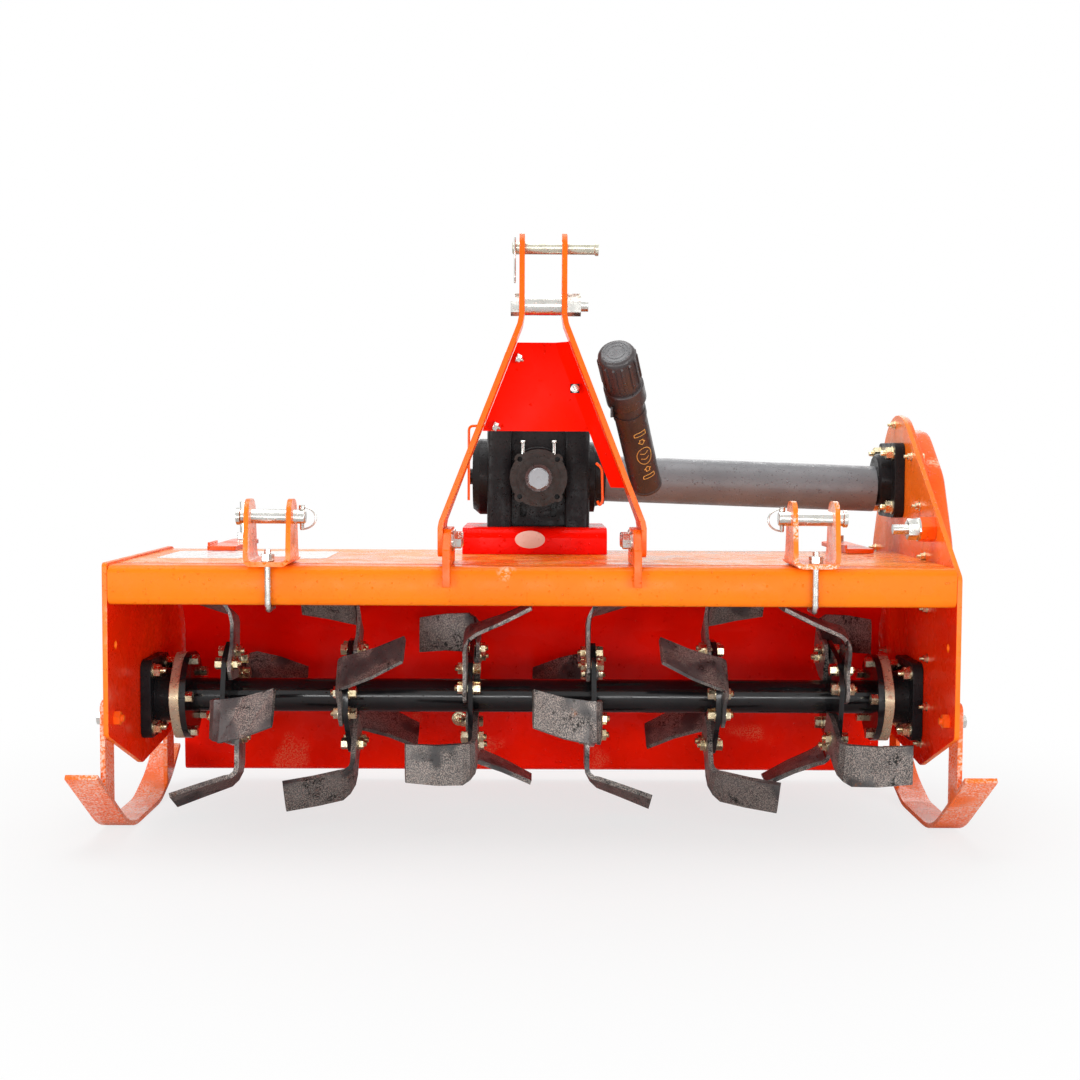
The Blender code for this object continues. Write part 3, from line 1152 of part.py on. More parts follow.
def make_tail():
    axis = (0.0, HINGE_Y, HINGE_Z)
    hinge = axis_empty("tail_board_axis", axis)
    middle = SHEET / 2.0
    half = BODY_HALF
    path = filleted([
        (HINGE_Y + middle, HINGE_Z - HINGE_PIN_RADIUS, 0.0),
        (HINGE_Y + middle + BOARD_LEAN, BOARD_FOOT_Z + middle + 0.004, 0.008),
        (HINGE_Y + middle + BOARD_LEAN + BOARD_LIP, BOARD_FOOT_Z + middle, 0.0)], closed=False)
    parts = []
    for x in HINGE_PLACES:
        ends = (x - HINGE_BARREL, x - GAP)
        parts.append(prism("X", circle(HINGE_Y, HINGE_Z, HINGE_BARREL_RADIUS, 10), *ends))
        parts.append(prism("X", box_outline(
            HINGE_Y, HINGE_Z - 0.030, HINGE_Y + SHEET + 0.001, HINGE_Z - 0.006), *ends))
    pin_z = HINGE_Z - ROD_EYE_DOWN
    pin_y = HINGE_Y + ROD_EYE_BACK
    for name, side in SIDES:
        rod_x = HITCH_X + side * ROD_HALF_SPAN
        face = rod_x - ROD_EYE_THICK / 2.0 - 0.0005
        lug = filleted([
            (HINGE_Y + middle, pin_z - 0.030, 0.0),
            (pin_y + BOARD_LUG_REACH, pin_z - BOARD_LUG_REACH, 0.012),
            (pin_y + BOARD_LUG_REACH, pin_z + BOARD_LUG_REACH, 0.012),
            (HINGE_Y + middle, pin_z + 0.024, 0.0)])
        parts.append(prism("X", lug, face - BOARD_LUG, face))
        pin_end = rod_x + ROD_EYE_THICK / 2.0 + BOARD_PIN_END
        parts.append(bar((face - BOARD_LUG / 2.0, pin_y, pin_z), (pin_end, pin_y, pin_z), ROD_EYE_PIN, 12))
    sheet = prism("X", thickened(path, SHEET), -half, half)
    clear = bar((-half - 0.01, HINGE_Y, HINGE_Z), (half + 0.01, HINGE_Y, HINGE_Z),
                HINGE_BARREL_RADIUS + BARREL_RELIEF, 10)
    board = cut(sheet, clear)
    board = fused(board, *parts)
    bore = bar((-half, HINGE_Y, HINGE_Z), (half, HINGE_Y, HINGE_Z), HINGE_PIN_RADIUS + PIN_PLAY, 10)
    piece("tail_board", cut(board, bore), "orange", axis, hinge)
    slot_z = BEAM_TOP + GAP + BRACKET_PLATE / 2.0
    lean = Vector((0.0, BRACKET_SLOT_Y - pin_y, slot_z - pin_z))
    reach = lean.length
    along = lean.normalized()
    for name, side in SIDES:
        rod_x = HITCH_X + side * ROD_HALF_SPAN
        eye = Vector((rod_x, pin_y, pin_z))
        pivot = axis_empty(name + "_rod_axis", tuple(eye), hinge)
        half_eye = ROD_EYE_THICK / 2.0
        outer = prism("X", circle(pin_y, pin_z, ROD_EYE_RADIUS, 16), rod_x - half_eye, rod_x + half_eye)
        shank = bar(eye + along * 0.010, eye + along * ROD_LENGTH, ROD_RADIUS, 12)
        collar = bar(eye + along * (SPRING_COLLAR - ROD_COLLAR), eye + along * SPRING_COLLAR,
                     SPRING_RADIUS, 14)
        nut_low = reach + BRACKET_PLATE / 2.0 + ROD_PLAY
        nut = hexagon(eye + along * nut_low, eye + along * (nut_low + ROD_NUT), ROD_NUT_ACROSS)
        hole = bar((rod_x - 0.02, pin_y, pin_z), (rod_x + 0.02, pin_y, pin_z), ROD_EYE_PIN + PIN_PLAY, 12)
        rod = cut(fused(outer, shank, collar, nut), hole)
        piece(name + "_rod", rod, "zinc", tuple(eye), pivot)
        start = eye + along * (SPRING_COLLAR + GAP)
        length = reach - BRACKET_PLATE / 2.0 - SPRING_COLLAR - 2.0 * ROD_PLAY
        coil = turned(start, along, (
            (0.0, SPRING_RADIUS - SPRING_WIRE), (0.0, SPRING_RADIUS), (length, SPRING_RADIUS),
            (length, SPRING_RADIUS - SPRING_WIRE)), 16, bored=True)
        piece(name + "_spring", coil, "black", tuple(eye), pivot)


make_beam()
make_side_plates()
make_hood()
make_bearings()
make_gear_cover()
make_saddle()
make_gearbox()
make_guard()
make_mast_legs()
make_mast_lugs()
make_mast_guard()
make_mast_pins()
make_clevises()
make_skids()
make_rod_brackets()
make_side_stud()
make_manual_tube()
make_rotor()
make_input_shaft()
make_tail()

# The origin goes to the middle of the whole machine, on the floor
bpy.context.view_layer.update()
corners = [made.matrix_world @ vertex.co for made in bpy.data.objects if made.type == "MESH"
           for vertex in made.data.vertices]
root.location.x = -(min(c.x for c in corners) + max(c.x for c in corners)) / 2.0
root.location.y = -(min(c.y for c in corners) + max(c.y for c in corners)) / 2.0
root.location.z = -min(c.z for c in corners)
bpy.context.view_layer.update()
print("origin shift", [round(value, 5) for value in root.location])
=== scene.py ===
"""Rotary tiller after rain: the finish of every part, seen from the tractor's side.

Metres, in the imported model's frame: +X to the right, +Y back to the tail board, +Z up.
"""

import json
from math import cos, hypot, pi, radians, sin

import bmesh
import bpy
from mathutils import Matrix, Vector


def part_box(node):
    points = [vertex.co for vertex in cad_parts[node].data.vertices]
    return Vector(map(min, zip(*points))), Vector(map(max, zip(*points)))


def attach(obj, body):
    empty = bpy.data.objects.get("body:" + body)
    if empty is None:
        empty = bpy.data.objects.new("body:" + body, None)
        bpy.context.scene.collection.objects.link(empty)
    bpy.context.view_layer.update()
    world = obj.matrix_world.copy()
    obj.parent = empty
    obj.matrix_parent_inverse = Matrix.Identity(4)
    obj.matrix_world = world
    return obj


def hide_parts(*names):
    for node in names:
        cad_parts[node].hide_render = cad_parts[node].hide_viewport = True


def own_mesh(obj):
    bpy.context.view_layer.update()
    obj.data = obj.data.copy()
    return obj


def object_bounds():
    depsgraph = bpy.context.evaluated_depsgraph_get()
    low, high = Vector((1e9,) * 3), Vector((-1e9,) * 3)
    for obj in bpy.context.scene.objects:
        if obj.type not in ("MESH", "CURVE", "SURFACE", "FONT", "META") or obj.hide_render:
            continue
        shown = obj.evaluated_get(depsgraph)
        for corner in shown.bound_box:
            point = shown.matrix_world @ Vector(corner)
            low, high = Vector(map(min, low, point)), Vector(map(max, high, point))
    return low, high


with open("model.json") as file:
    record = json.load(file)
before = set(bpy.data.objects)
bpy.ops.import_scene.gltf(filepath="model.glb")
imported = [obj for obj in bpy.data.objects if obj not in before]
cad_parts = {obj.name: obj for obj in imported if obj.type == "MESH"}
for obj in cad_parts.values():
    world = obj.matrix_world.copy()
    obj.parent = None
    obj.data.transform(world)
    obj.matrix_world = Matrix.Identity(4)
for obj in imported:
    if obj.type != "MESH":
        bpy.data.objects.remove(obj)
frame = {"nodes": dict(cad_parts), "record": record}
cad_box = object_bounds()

nodes = frame["nodes"]
scene = bpy.context.scene

# The camera stands where the photograph was taken from, a little above the gearbox.
# It looks slightly down and right, and the picture leans a quarter of a degree.
PHOTO = 1080
FOCAL_PIXELS = 1512.0
CAMERA_BACK = 2.275
CAMERA_HEIGHT = 0.613
PITCH = radians(3.24)
YAW = radians(0.27)
ROLL = radians(0.27)
beam_low, beam_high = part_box("front_beam")
lens = bpy.data.cameras.new("photo_lens")
lens.sensor_width = 36.0
lens.lens = FOCAL_PIXELS / PHOTO * lens.sensor_width
camera = bpy.data.objects.new("photo_camera", lens)
scene.collection.objects.link(camera)
turn = (Matrix.Rotation(-YAW, 4, "Z") @ Matrix.Rotation(pi / 2.0 - PITCH, 4, "X")
        @ Matrix.Rotation(ROLL, 4, "Z"))
camera.matrix_world = Matrix.Translation((0.0, beam_low[1] - CAMERA_BACK, CAMERA_HEIGHT)) @ turn
scene.camera = camera

# The room is a bright overcast sky over a pale floor.
# The sky and the far floor are plain white to the camera, and the sky also in reflections.
SKY_LIGHT = 0.24
scene.view_settings.view_transform = "Standard"
world = bpy.data.worlds.new("overcast")
scene.world = world
world.use_nodes = True
tree = world.node_tree
tree.nodes.clear()
path = tree.nodes.new("ShaderNodeLightPath")
seen = tree.nodes.new("ShaderNodeMath")
seen.operation = "MAXIMUM"
tree.links.new(path.outputs["Is Camera Ray"], seen.inputs[0])
tree.links.new(path.outputs["Is Glossy Ray"], seen.inputs[1])
light_sky = tree.nodes.new("ShaderNodeBackground")
light_sky.inputs["Color"].default_value = (0.95, 0.98, 1.0, 1.0)
light_sky.inputs["Strength"].default_value = SKY_LIGHT
white_sky = tree.nodes.new("ShaderNodeBackground")
white_sky.inputs["Color"].default_value = (1.0, 1.0, 1.0, 1.0)
white_sky.inputs["Strength"].default_value = 1.0
either = tree.nodes.new("ShaderNodeMixShader")
tree.links.new(seen.outputs[0], either.inputs["Fac"])
tree.links.new(light_sky.outputs[0], either.inputs[1])
tree.links.new(white_sky.outputs[0], either.inputs[2])
sky_out = tree.nodes.new("ShaderNodeOutputWorld")
tree.links.new(either.outputs[0], sky_out.inputs["Surface"])

FLOOR_RADIUS = 9.0
work = bmesh.new()
bmesh.ops.create_circle(work, cap_ends=True, segments=96, radius=FLOOR_RADIUS)
mesh = bpy.data.meshes.new("floor")
work.to_mesh(mesh)
work.free()
floor = bpy.data.objects.new("floor", mesh)
scene.collection.objects.link(floor)
floor.location.z = cad_box[0][2] - 0.0005
pale = bpy.data.materials.new("pale_floor")
pale.use_nodes = True
tree = pale.node_tree
coat = tree.nodes["Principled BSDF"]
coat.inputs["Base Color"].default_value = (0.74, 0.74, 0.74, 1.0)
coat.inputs["Roughness"].default_value = 0.85
coat.inputs["Specular IOR Level"].default_value = 0.2
glow = tree.nodes.new("ShaderNodeEmission")
glow.inputs["Color"].default_value = (1.0, 1.0, 1.0, 1.0)
path = tree.nodes.new("ShaderNodeLightPath")
place = tree.nodes.new("ShaderNodeTexCoord")
length = tree.nodes.new("ShaderNodeVectorMath")
length.operation = "LENGTH"
fade = tree.nodes.new("ShaderNodeMapRange")
fade.interpolation_type = "SMOOTHERSTEP"
fade.inputs["From Min"].default_value = 0.25
fade.inputs["From Max"].default_value = 1.5
fade.inputs["To Min"].default_value = 0.72
ray = tree.nodes.new("ShaderNodeMath")
ray.operation = "MULTIPLY"
blend = tree.nodes.new("ShaderNodeMixShader")
tree.links.new(place.outputs["Object"], length.inputs[0])
tree.links.new(length.outputs["Value"], fade.inputs["Value"])
tree.links.new(fade.outputs["Result"], ray.inputs[0])
tree.links.new(path.outputs["Is Camera Ray"], ray.inputs[1])
tree.links.new(ray.outputs[0], blend.inputs["Fac"])
tree.links.new(coat.outputs[0], blend.inputs[1])
tree.links.new(glow.outputs[0], blend.inputs[2])
tree.links.new(blend.outputs[0], tree.nodes["Material Output"].inputs["Surface"])
mesh.materials.append(pale)

# Soft boxes: two at the front corners and a low one between them light the rotor's room.
# A wide one above lights what faces the sky, and weaker ones fill in from the right and the rear.
for lamp_name, place_at, aim, size, height, power in (
        ("front_left_box", (-2.3, -3.0, 0.60), (0.0, 0.0, 0.26), 1.5, 1.05, 43.0),
        ("front_right_box", (2.3, -3.0, 0.60), (0.0, 0.0, 0.26), 1.5, 1.05, 43.0),
        ("low_box", (0.0, -3.2, 0.26), (0.0, 0.2, 0.26), 2.2, 0.36, 22.0),
        ("sky_box", (-0.4, -0.2, 3.3), (0.0, 0.0, 0.4), 2.6, 2.6, 78.0),
        ("right_box", (2.8, -1.6, 1.6), (0.0, 0.0, 0.35), 1.8, 1.8, 12.0),
        ("rear_box", (0.6, 2.8, 2.4), (0.0, 0.0, 0.45), 2.2, 2.2, 30.0)):
    soft = bpy.data.lights.new(lamp_name, "AREA")
    soft.shape = "RECTANGLE"
    soft.size = size
    soft.size_y = height
    soft.energy = power
    lamp = bpy.data.objects.new(lamp_name, soft)
    scene.collection.objects.link(lamp)
    lamp.location = place_at
    lamp.rotation_mode = "QUATERNION"
    lamp.rotation_quaternion = (Vector(aim) - Vector(place_at)).to_track_quat("-Z", "Y")

# Front beam: a square steel tube across the whole machine, in bright orange gloss paint.
# Rain stands on it in beads, and a thin layer of water makes the paint shine unevenly; faint pale patches
# in its colour are painted reflections of the sky.
front = beam_low[1]
beam_top = beam_high[2]


def node_group(name, inputs, outputs):
    """Empty shader group with its sockets: (name, kind, value)."""
    group = bpy.data.node_groups.new(name, "ShaderNodeTree")
    for label, kind, value in inputs:
        made = group.interface.new_socket(label, in_out="INPUT", socket_type="NodeSocket" + kind)
        made.default_value = value
    for label, kind in outputs:
        group.interface.new_socket(label, in_out="OUTPUT", socket_type="NodeSocket" + kind)
    return group, group.nodes.new("NodeGroupInput"), group.nodes.new("NodeGroupOutput")


def math_node(group, operation, first, second=None, clamp=False):
    made = group.nodes.new("ShaderNodeMath")
    made.operation = operation
    made.use_clamp = clamp
    for socket, value in zip(made.inputs, (first, second)):
        if value is None:
            continue
        if isinstance(value, (int, float)):
            socket.default_value = value
        else:
            group.links.new(value, socket)
    return made.outputs[0]


def ramp_node(group, value, low, high, to_low=0.0, to_high=1.0):
    made = group.nodes.new("ShaderNodeMapRange")
    made.interpolation_type = "SMOOTHSTEP"
    group.links.new(value, made.inputs["Value"])
    for label, number in (("From Min", low), ("From Max", high), ("To Min", to_low), ("To Max", to_high)):
        if isinstance(number, (int, float)):
            made.inputs[label].default_value = number
        else:
            group.links.new(number, made.inputs[label])
    return made.outputs["Result"]


def noise_node(group, vector, scale, detail):
    made = group.nodes.new("ShaderNodeTexNoise")
    made.inputs["Detail"].default_value = detail
    group.links.new(vector, made.inputs["Vector"])
    if isinstance(scale, (int, float)):
        made.inputs["Scale"].default_value = scale
    else:
        group.links.new(scale, made.inputs["Scale"])
    return made.outputs["Fac"]


def mix_node(group, factor, first, second):
    made = group.nodes.new("ShaderNodeMix")
    made.data_type = "RGBA"
    for label, value in (("Factor", factor), ("A", first), ("B", second)):
        socket = next(item for item in made.inputs if item.name == label and item.enabled)
        if isinstance(value, (int, float, tuple)):
            socket.default_value = value
        else:
            group.links.new(value, socket)
    return next(item for item in made.outputs if item.enabled)


BEAD_REACH = 0.46            # widest bead, as a share of its cell
WET_ROUGHNESS = 0.04
RELIEF_DISTANCE = 0.7
SAND_SCALE = 420.0
rain, rain_in, rain_out = node_group(
    "rain_beads", (("Scale", "Float", 120.0), ("Cover", "Float", 0.3)),
    (("Height", "Float"), ("Mask", "Float")))
coords = rain.nodes.new("ShaderNodeTexCoord")
heights = []
bare = math_node(rain, "SUBTRACT", 1.0, rain_in.outputs["Cover"])
for spread in (1.0, 2.4):
    cells = rain.nodes.new("ShaderNodeTexVoronoi")
    cells.feature = "F1"
    scale = math_node(rain, "MULTIPLY", rain_in.outputs["Scale"], spread)
    rain.links.new(coords.outputs["Object"], cells.inputs["Vector"])
    rain.links.new(scale, cells.inputs["Scale"])
    split = rain.nodes.new("ShaderNodeSeparateColor")
    rain.links.new(cells.outputs["Color"], split.inputs[0])
    chosen = math_node(rain, "SUBTRACT", split.outputs[0], bare)
    share = math_node(rain, "DIVIDE", chosen, rain_in.outputs["Cover"])
    reach = math_node(rain, "MULTIPLY", share, BEAD_REACH, clamp=True)
    inside = math_node(rain, "SUBTRACT", math_node(rain, "POWER", reach, 2.0),
                       math_node(rain, "POWER", cells.outputs["Distance"], 2.0))
    bead = math_node(rain, "SQRT", math_node(rain, "MAXIMUM", inside, 0.0))
    heights.append(math_node(rain, "DIVIDE", bead, scale))
total = math_node(rain, "MAXIMUM", heights[0], heights[1])
rain.links.new(total, rain_out.inputs["Height"])
sized = math_node(rain, "MULTIPLY", total, rain_in.outputs["Scale"])
rain.links.new(ramp_node(rain, sized, 0.01, 0.08), rain_out.inputs["Mask"])

mottle, mottle_in, mottle_out = node_group(
    "uneven_coat",
    (("Colour", "Color", (0.8, 0.8, 0.8, 1.0)), ("Other", "Color", (0.5, 0.5, 0.5, 1.0)),
     ("Scale", "Float", 9.0), ("Smooth", "Float", 0.2), ("Dull", "Float", 0.4)),
    (("Colour", "Color"), ("Roughness", "Float")))
coords = mottle.nodes.new("ShaderNodeTexCoord")
cloud = noise_node(mottle, coords.outputs["Object"], mottle_in.outputs["Scale"], 6.0)
clouds = ramp_node(mottle, cloud, 0.38, 0.68)
mottle.links.new(mix_node(mottle, clouds, mottle_in.outputs["Colour"], mottle_in.outputs["Other"]),
                 mottle_out.inputs["Colour"])
fine = noise_node(
    mottle, coords.outputs["Object"], math_node(mottle, "MULTIPLY", mottle_in.outputs["Scale"], 4.0), 3.0)
mottle.links.new(
    ramp_node(mottle, fine, 0.35, 0.65, mottle_in.outputs["Smooth"], mottle_in.outputs["Dull"]),
    mottle_out.inputs["Roughness"])

# Patch mask: for stains, and on the orange paints for lighter patches that are painted reflections of the
# sky.
speckle, speckle_in, speckle_out = node_group(
    "speckled_stain_and_sheen",
    (("Patch Scale", "Float", 5.0), ("Grain Scale", "Float", 160.0), ("Amount", "Float", 0.3)),
    (("Mask", "Float"),))
coords = speckle.nodes.new("ShaderNodeTexCoord")
patches = noise_node(speckle, coords.outputs["Object"], speckle_in.outputs["Patch Scale"], 2.0)
eased = math_node(speckle, "MULTIPLY", speckle_in.outputs["Amount"], 0.4)
limit = math_node(speckle, "SUBTRACT", 0.72, eased)
patches = ramp_node(speckle, patches, limit, math_node(speckle, "ADD", limit, 0.10))
grains = noise_node(speckle, coords.outputs["Object"], speckle_in.outputs["Grain Scale"], 4.0)
grains = ramp_node(speckle, grains, 0.44, 0.60)
speckle.links.new(math_node(speckle, "MULTIPLY", patches, grains), speckle_out.inputs["Mask"])


def placed_group(tree, group, **values):
    """A shader group in a material, with its inputs set. Names stand with _ for a space."""
    made = tree.nodes.new("ShaderNodeGroup")
    made.node_tree = group
    for label, value in values.items():
        made.inputs[label.replace("_", " ")].default_value = value
    return made


def wet_finish(name, colour, other, gloss, beads, stains_and_sheen=(), metallic=0.0, scale=9.0, specular=0.5,
               painted_light_above=None, grain=0.0):
    """Material with an uneven coat, stains and sheen (colour, amount, patch scale, grain scale) and beads of
    rain.
    Lighter patches on the orange paints are painted reflections of the sky in standing water; on the black
    paint and the metals they are stains, rust and dried soil.

    Gloss is (smooth, dull) roughness, and beads are (scale, cover). The height option is (low, high,
    colour): above those heights the coat turns to that colour, painted light on the upper part that stands
    in the light.
    """
    made = bpy.data.materials.new(name)
    made.use_nodes = True
    tree = made.node_tree
    shader = tree.nodes["Principled BSDF"]
    shader.inputs["Metallic"].default_value = metallic
    shader.inputs["Specular IOR Level"].default_value = specular
    body = placed_group(tree, mottle, Colour=(*colour, 1.0), Other=(*other, 1.0), Scale=scale,
                        Smooth=gloss[0], Dull=gloss[1])
    shade = body.outputs["Colour"]
    place = tree.nodes.new("ShaderNodeTexCoord")
    # Above the given heights the coat turns to the given colour: painted light.
    if painted_light_above:
        low, high, lit_colour = painted_light_above
        parts = tree.nodes.new("ShaderNodeSeparateXYZ")
        tree.links.new(place.outputs["Object"], parts.inputs[0])
        shade = mix_node(tree, ramp_node(tree, parts.outputs["Z"], low, high), shade, (*lit_colour, 1.0))
    # Each patch colour is mixed in: stains, and on orange paint lighter patches that are painted reflections
    # of the sky.
    for tint, amount, patch_scale, grain_scale in stains_and_sheen:
        stain_and_sheen_patch = placed_group(tree, speckle, Patch_Scale=patch_scale, Grain_Scale=grain_scale, Amount=amount)
        shade = mix_node(tree, stain_and_sheen_patch.outputs["Mask"], shade, (*tint, 1.0))
    tree.links.new(shade, shader.inputs["Base Color"])
    bead_scale, cover = beads
    wet = placed_group(tree, rain, Scale=bead_scale, Cover=cover)
    sheen = tree.nodes.new("ShaderNodeMix")
    tree.links.new(wet.outputs["Mask"], sheen.inputs["Factor"])
    tree.links.new(body.outputs["Roughness"], sheen.inputs["A"])
    sheen.inputs["B"].default_value = WET_ROUGHNESS
    tree.links.new(sheen.outputs["Result"], shader.inputs["Roughness"])
    height = wet.outputs["Height"]
    if grain:
        rough = noise_node(tree, place.outputs["Object"], SAND_SCALE, 3.0)
        height = math_node(tree, "ADD", height, math_node(tree, "MULTIPLY", rough, grain))
    relief = tree.nodes.new("ShaderNodeBump")
    relief.inputs["Strength"].default_value = 1.0
    relief.inputs["Distance"].default_value = RELIEF_DISTANCE
    tree.links.new(height, relief.inputs["Height"])
    tree.links.new(relief.outputs["Normal"], shader.inputs["Normal"])
    return made


def body_of(node):
    return next(name for name, members in frame["record"]["behaviour"]["bodies"].items() if node in members)


def bored(mesh, holes):
    """The mesh with round holes: (start, end, radius)."""
    base = bpy.data.objects.new("blank", mesh)
    scene.collection.objects.link(base)
    drills = []
    for start, end, radius in holes:
        work = bmesh.new()
        span = Vector(end) - Vector(start)
        middle = Matrix.Translation((Vector(start) + Vector(end)) / 2.0)
        spin = middle @ span.to_track_quat("Z", "Y").to_matrix().to_4x4()
        bmesh.ops.create_cone(work, cap_ends=True, segments=28, radius1=radius, radius2=radius,
                              depth=span.length, matrix=spin)
        tool = bpy.data.meshes.new("drill")
        work.to_mesh(tool)
        work.free()
        drill = bpy.data.objects.new("drill", tool)
        scene.collection.objects.link(drill)
        drills.append(drill)
        cut = base.modifiers.new("hole", "BOOLEAN")
        cut.operation = "DIFFERENCE"
        cut.solver = "EXACT"
        cut.object = drill
    graph = bpy.context.evaluated_depsgraph_get()
    result = bpy.data.meshes.new_from_object(base.evaluated_get(graph))
    for used in [base] + drills:
        bpy.data.objects.remove(used)
    return result


def dressed(node, finish, rounding=0.0007, segments=2, others=(), holes=()):
    """Copy of a CAD node with its edges broken, standing in for the node.

    Others lists (material, test) for faces that have another finish.
    """
    mesh = nodes[node].data.copy()
    mesh.name = node + "_skin"
    if holes:
        mesh = bored(mesh, holes)
    mesh.materials.clear()
    mesh.materials.append(finish)
    for material, test in others:
        mesh.materials.append(material)
    work = bmesh.new()
    work.from_mesh(mesh)
    bmesh.ops.remove_doubles(work, verts=work.verts, dist=0.00002)
    bmesh.ops.dissolve_limit(work, angle_limit=radians(0.5), verts=work.verts, edges=work.edges)
    for face in work.faces:
        face.material_index = 0
        for index, (material, test) in enumerate(others, 1):
            if test(face):
                face.material_index = index
    work.to_mesh(mesh)
    work.free()
    mesh.shade_smooth()
    mesh.set_sharp_from_angle(angle=radians(35.0))
    made = bpy.data.objects.new(node + "_skin", mesh)
    scene.collection.objects.link(made)
    if rounding:
        edge = made.modifiers.new("broken_edge", "BEVEL")
        edge.width = rounding
        edge.segments = segments
        edge.limit_method = "ANGLE"
        edge.angle_limit = radians(35.0)
        edge.harden_normals = True
        edge.use_clamp_overlap = True
    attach(made, body_of(node))
    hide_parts(node)
    return made


# Pale wash for orange paint: painted reflection of the sky in standing water.
PAINTED_SKY_SHEEN = (0.97, 0.56, 0.36)
beam_paint = wet_finish(
    "beam_paint", (0.92, 0.205, 0.008), (0.90, 0.175, 0.006), (0.20, 0.34), (240.0, 0.14),
    stains_and_sheen=((PAINTED_SKY_SHEEN, 0.06, 9.0, 240.0),), scale=5.0, specular=0.12)
dressed("front_beam", beam_paint, 0.0006)

# Hood, tail board and side plates: folded and welded sheet in gloss paint. Their deep red inside is painted
# shade, and the lighter orange of the deck and of the plates above it is painted light. The rear board and
# the deck hold streaks of water, drawn as lighter patches that are painted reflections of the sky.
# The plates are pierced for the skids' settings.
SKID_HOLE_BACK = 0.045
SKID_HOLE_Z = 0.3167
SKID_HOLE_RADIUS = 0.0065
# Deep red for the hood's inside: painted shade on the orange paint.
inner_painted_shade = wet_finish(
    "inner_painted_shade", (0.95, 0.006, 0.0002), (0.84, 0.003, 0.0001), (0.16, 0.34), (230.0, 0.10),
    scale=4.0, specular=0.08)
# Lighter orange for the deck, the hood's outside: painted light, with pale patches that are painted
# reflections of the sky.
deck_painted_light = wet_finish(
    "deck_painted_light", (0.97, 0.30, 0.035), (0.95, 0.24, 0.020), (0.14, 0.36), (170.0, 0.50),
    stains_and_sheen=((PAINTED_SKY_SHEEN, 0.34, 7.0, 340.0),), scale=6.0, specular=0.32)
# Deep red for the tail board: painted shade, with lighter orange patches that are painted reflections of the
# sky.
board_shade_and_sheen = wet_finish(
    "board_shade_and_sheen", (0.97, 0.012, 0.0005), (0.93, 0.008, 0.0004), (0.16, 0.34), (240.0, 0.20),
    stains_and_sheen=(((0.95, 0.16, 0.08), 0.34, 9.0, 420.0),), scale=5.0, specular=0.12)
# Outside of the side plates: plain orange, with pale patches that are painted reflections of the sky.
outer_paint = wet_finish(
    "outer_paint", (0.97, 0.20, 0.010), (0.95, 0.16, 0.006), (0.18, 0.36), (230.0, 0.30),
    stains_and_sheen=((PAINTED_SKY_SHEEN, 0.14, 7.0, 200.0),), scale=6.0, specular=0.25)
# Inside of the side plates: deep red as painted shade, with whitish patches as painted reflections of the
# sky, turning lighter orange above the deck as painted light.
plate_inside_shade_and_light = wet_finish(
    "plate_inside_shade_and_light", (0.97, 0.030, 0.001), (0.96, 0.020, 0.0008), (0.18, 0.34), (220.0, 0.28),
    stains_and_sheen=(((0.97, 0.50, 0.30), 0.10, 9.0, 200.0),), scale=5.0, specular=0.14,
    painted_light_above=(beam_top - 0.05, beam_top + 0.03, (0.97, 0.20, 0.014)))
rotor_low, rotor_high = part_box("rotor_tube")
rotor_y = (rotor_low[1] + rotor_high[1]) / 2.0
rotor_z = (rotor_low[2] + rotor_high[2]) / 2.0


def faces_out(face):
    """True where a face looks away from the rotor's axis."""
    middle = face.calc_center_median()
    return (middle.y - rotor_y) * face.normal.y + (middle.z - rotor_z) * face.normal.z > 0.0


# The hood's inner faces take the painted shade, and its outer faces the painted light.
dressed("hood", inner_painted_shade, others=((deck_painted_light, faces_out),))
dressed("tail_board", board_shade_and_sheen)
# Each plate's outer faces take the plain orange, and its inner faces the painted shade and painted light.
for name, side in (("left", -1.0), ("right", 1.0)):
    reach = side * (beam_high[0] + 0.05)
    hole_y = front + SKID_HOLE_BACK
    dressed(name + "_side_plate", outer_paint, 0.001, 2,
            others=((plate_inside_shade_and_light, lambda face, side=side: face.normal.x * side < -0.5),),
            holes=[((0.0, hole_y, SKID_HOLE_Z), (reach, hole_y, SKID_HOLE_Z), SKID_HOLE_RADIUS)])
zinc = wet_finish(
    "bright_zinc", (0.68, 0.675, 0.64), (0.56, 0.55, 0.51), (0.16, 0.30), (300.0, 0.20),
    metallic=1.0, scale=30.0)
yellow_zinc = wet_finish(
    "yellow_zinc", (0.78, 0.66, 0.42), (0.66, 0.60, 0.44), (0.20, 0.36), (300.0, 0.15),
    stains_and_sheen=(((0.55, 0.34, 0.20), 0.35, 30.0, 200.0),), metallic=1.0, scale=40.0)
dressed("hinge_pin", zinc, 0.0004)

# Bolts of the side drive: small zinc screws round the cover's edge, with nuts inside the plate.
# Each nut is a hexagon with its corners turned off, on a washer, and the thread ends past it.


def add_loft(work, rings, closed=False):
    """Skin over rings, capped at both ends or run round on itself."""
    loops = [[work.verts.new(point) for point in ring] for ring in rings]
    pairs = list(zip(loops, loops[1:]))
    if closed:
        pairs.append((loops[-1], loops[0]))
    else:
        work.faces.new(loops[0])
        work.faces.new(loops[-1])
    for low, high in pairs:
        for k in range(len(low)):
            n = (k + 1) % len(low)
            work.faces.new((low[k], low[n], high[n], high[k]))


def add_turned(work, at, direction, profile, sides=24, bore=False):
    """Turned form along a direction. The profile lists (distance, radius)."""
    along = Vector(direction).normalized()
    side = along.orthogonal().normalized()
    up = along.cross(side)
    rings = []
    for distance, radius in profile:
        spokes = [2.0 * pi * k / sides for k in range(sides)]
        rings.append([
            Vector(at) + along * distance + (side * cos(spoke) + up * sin(spoke)) * radius
            for spoke in spokes])
    add_loft(work, rings, bore)


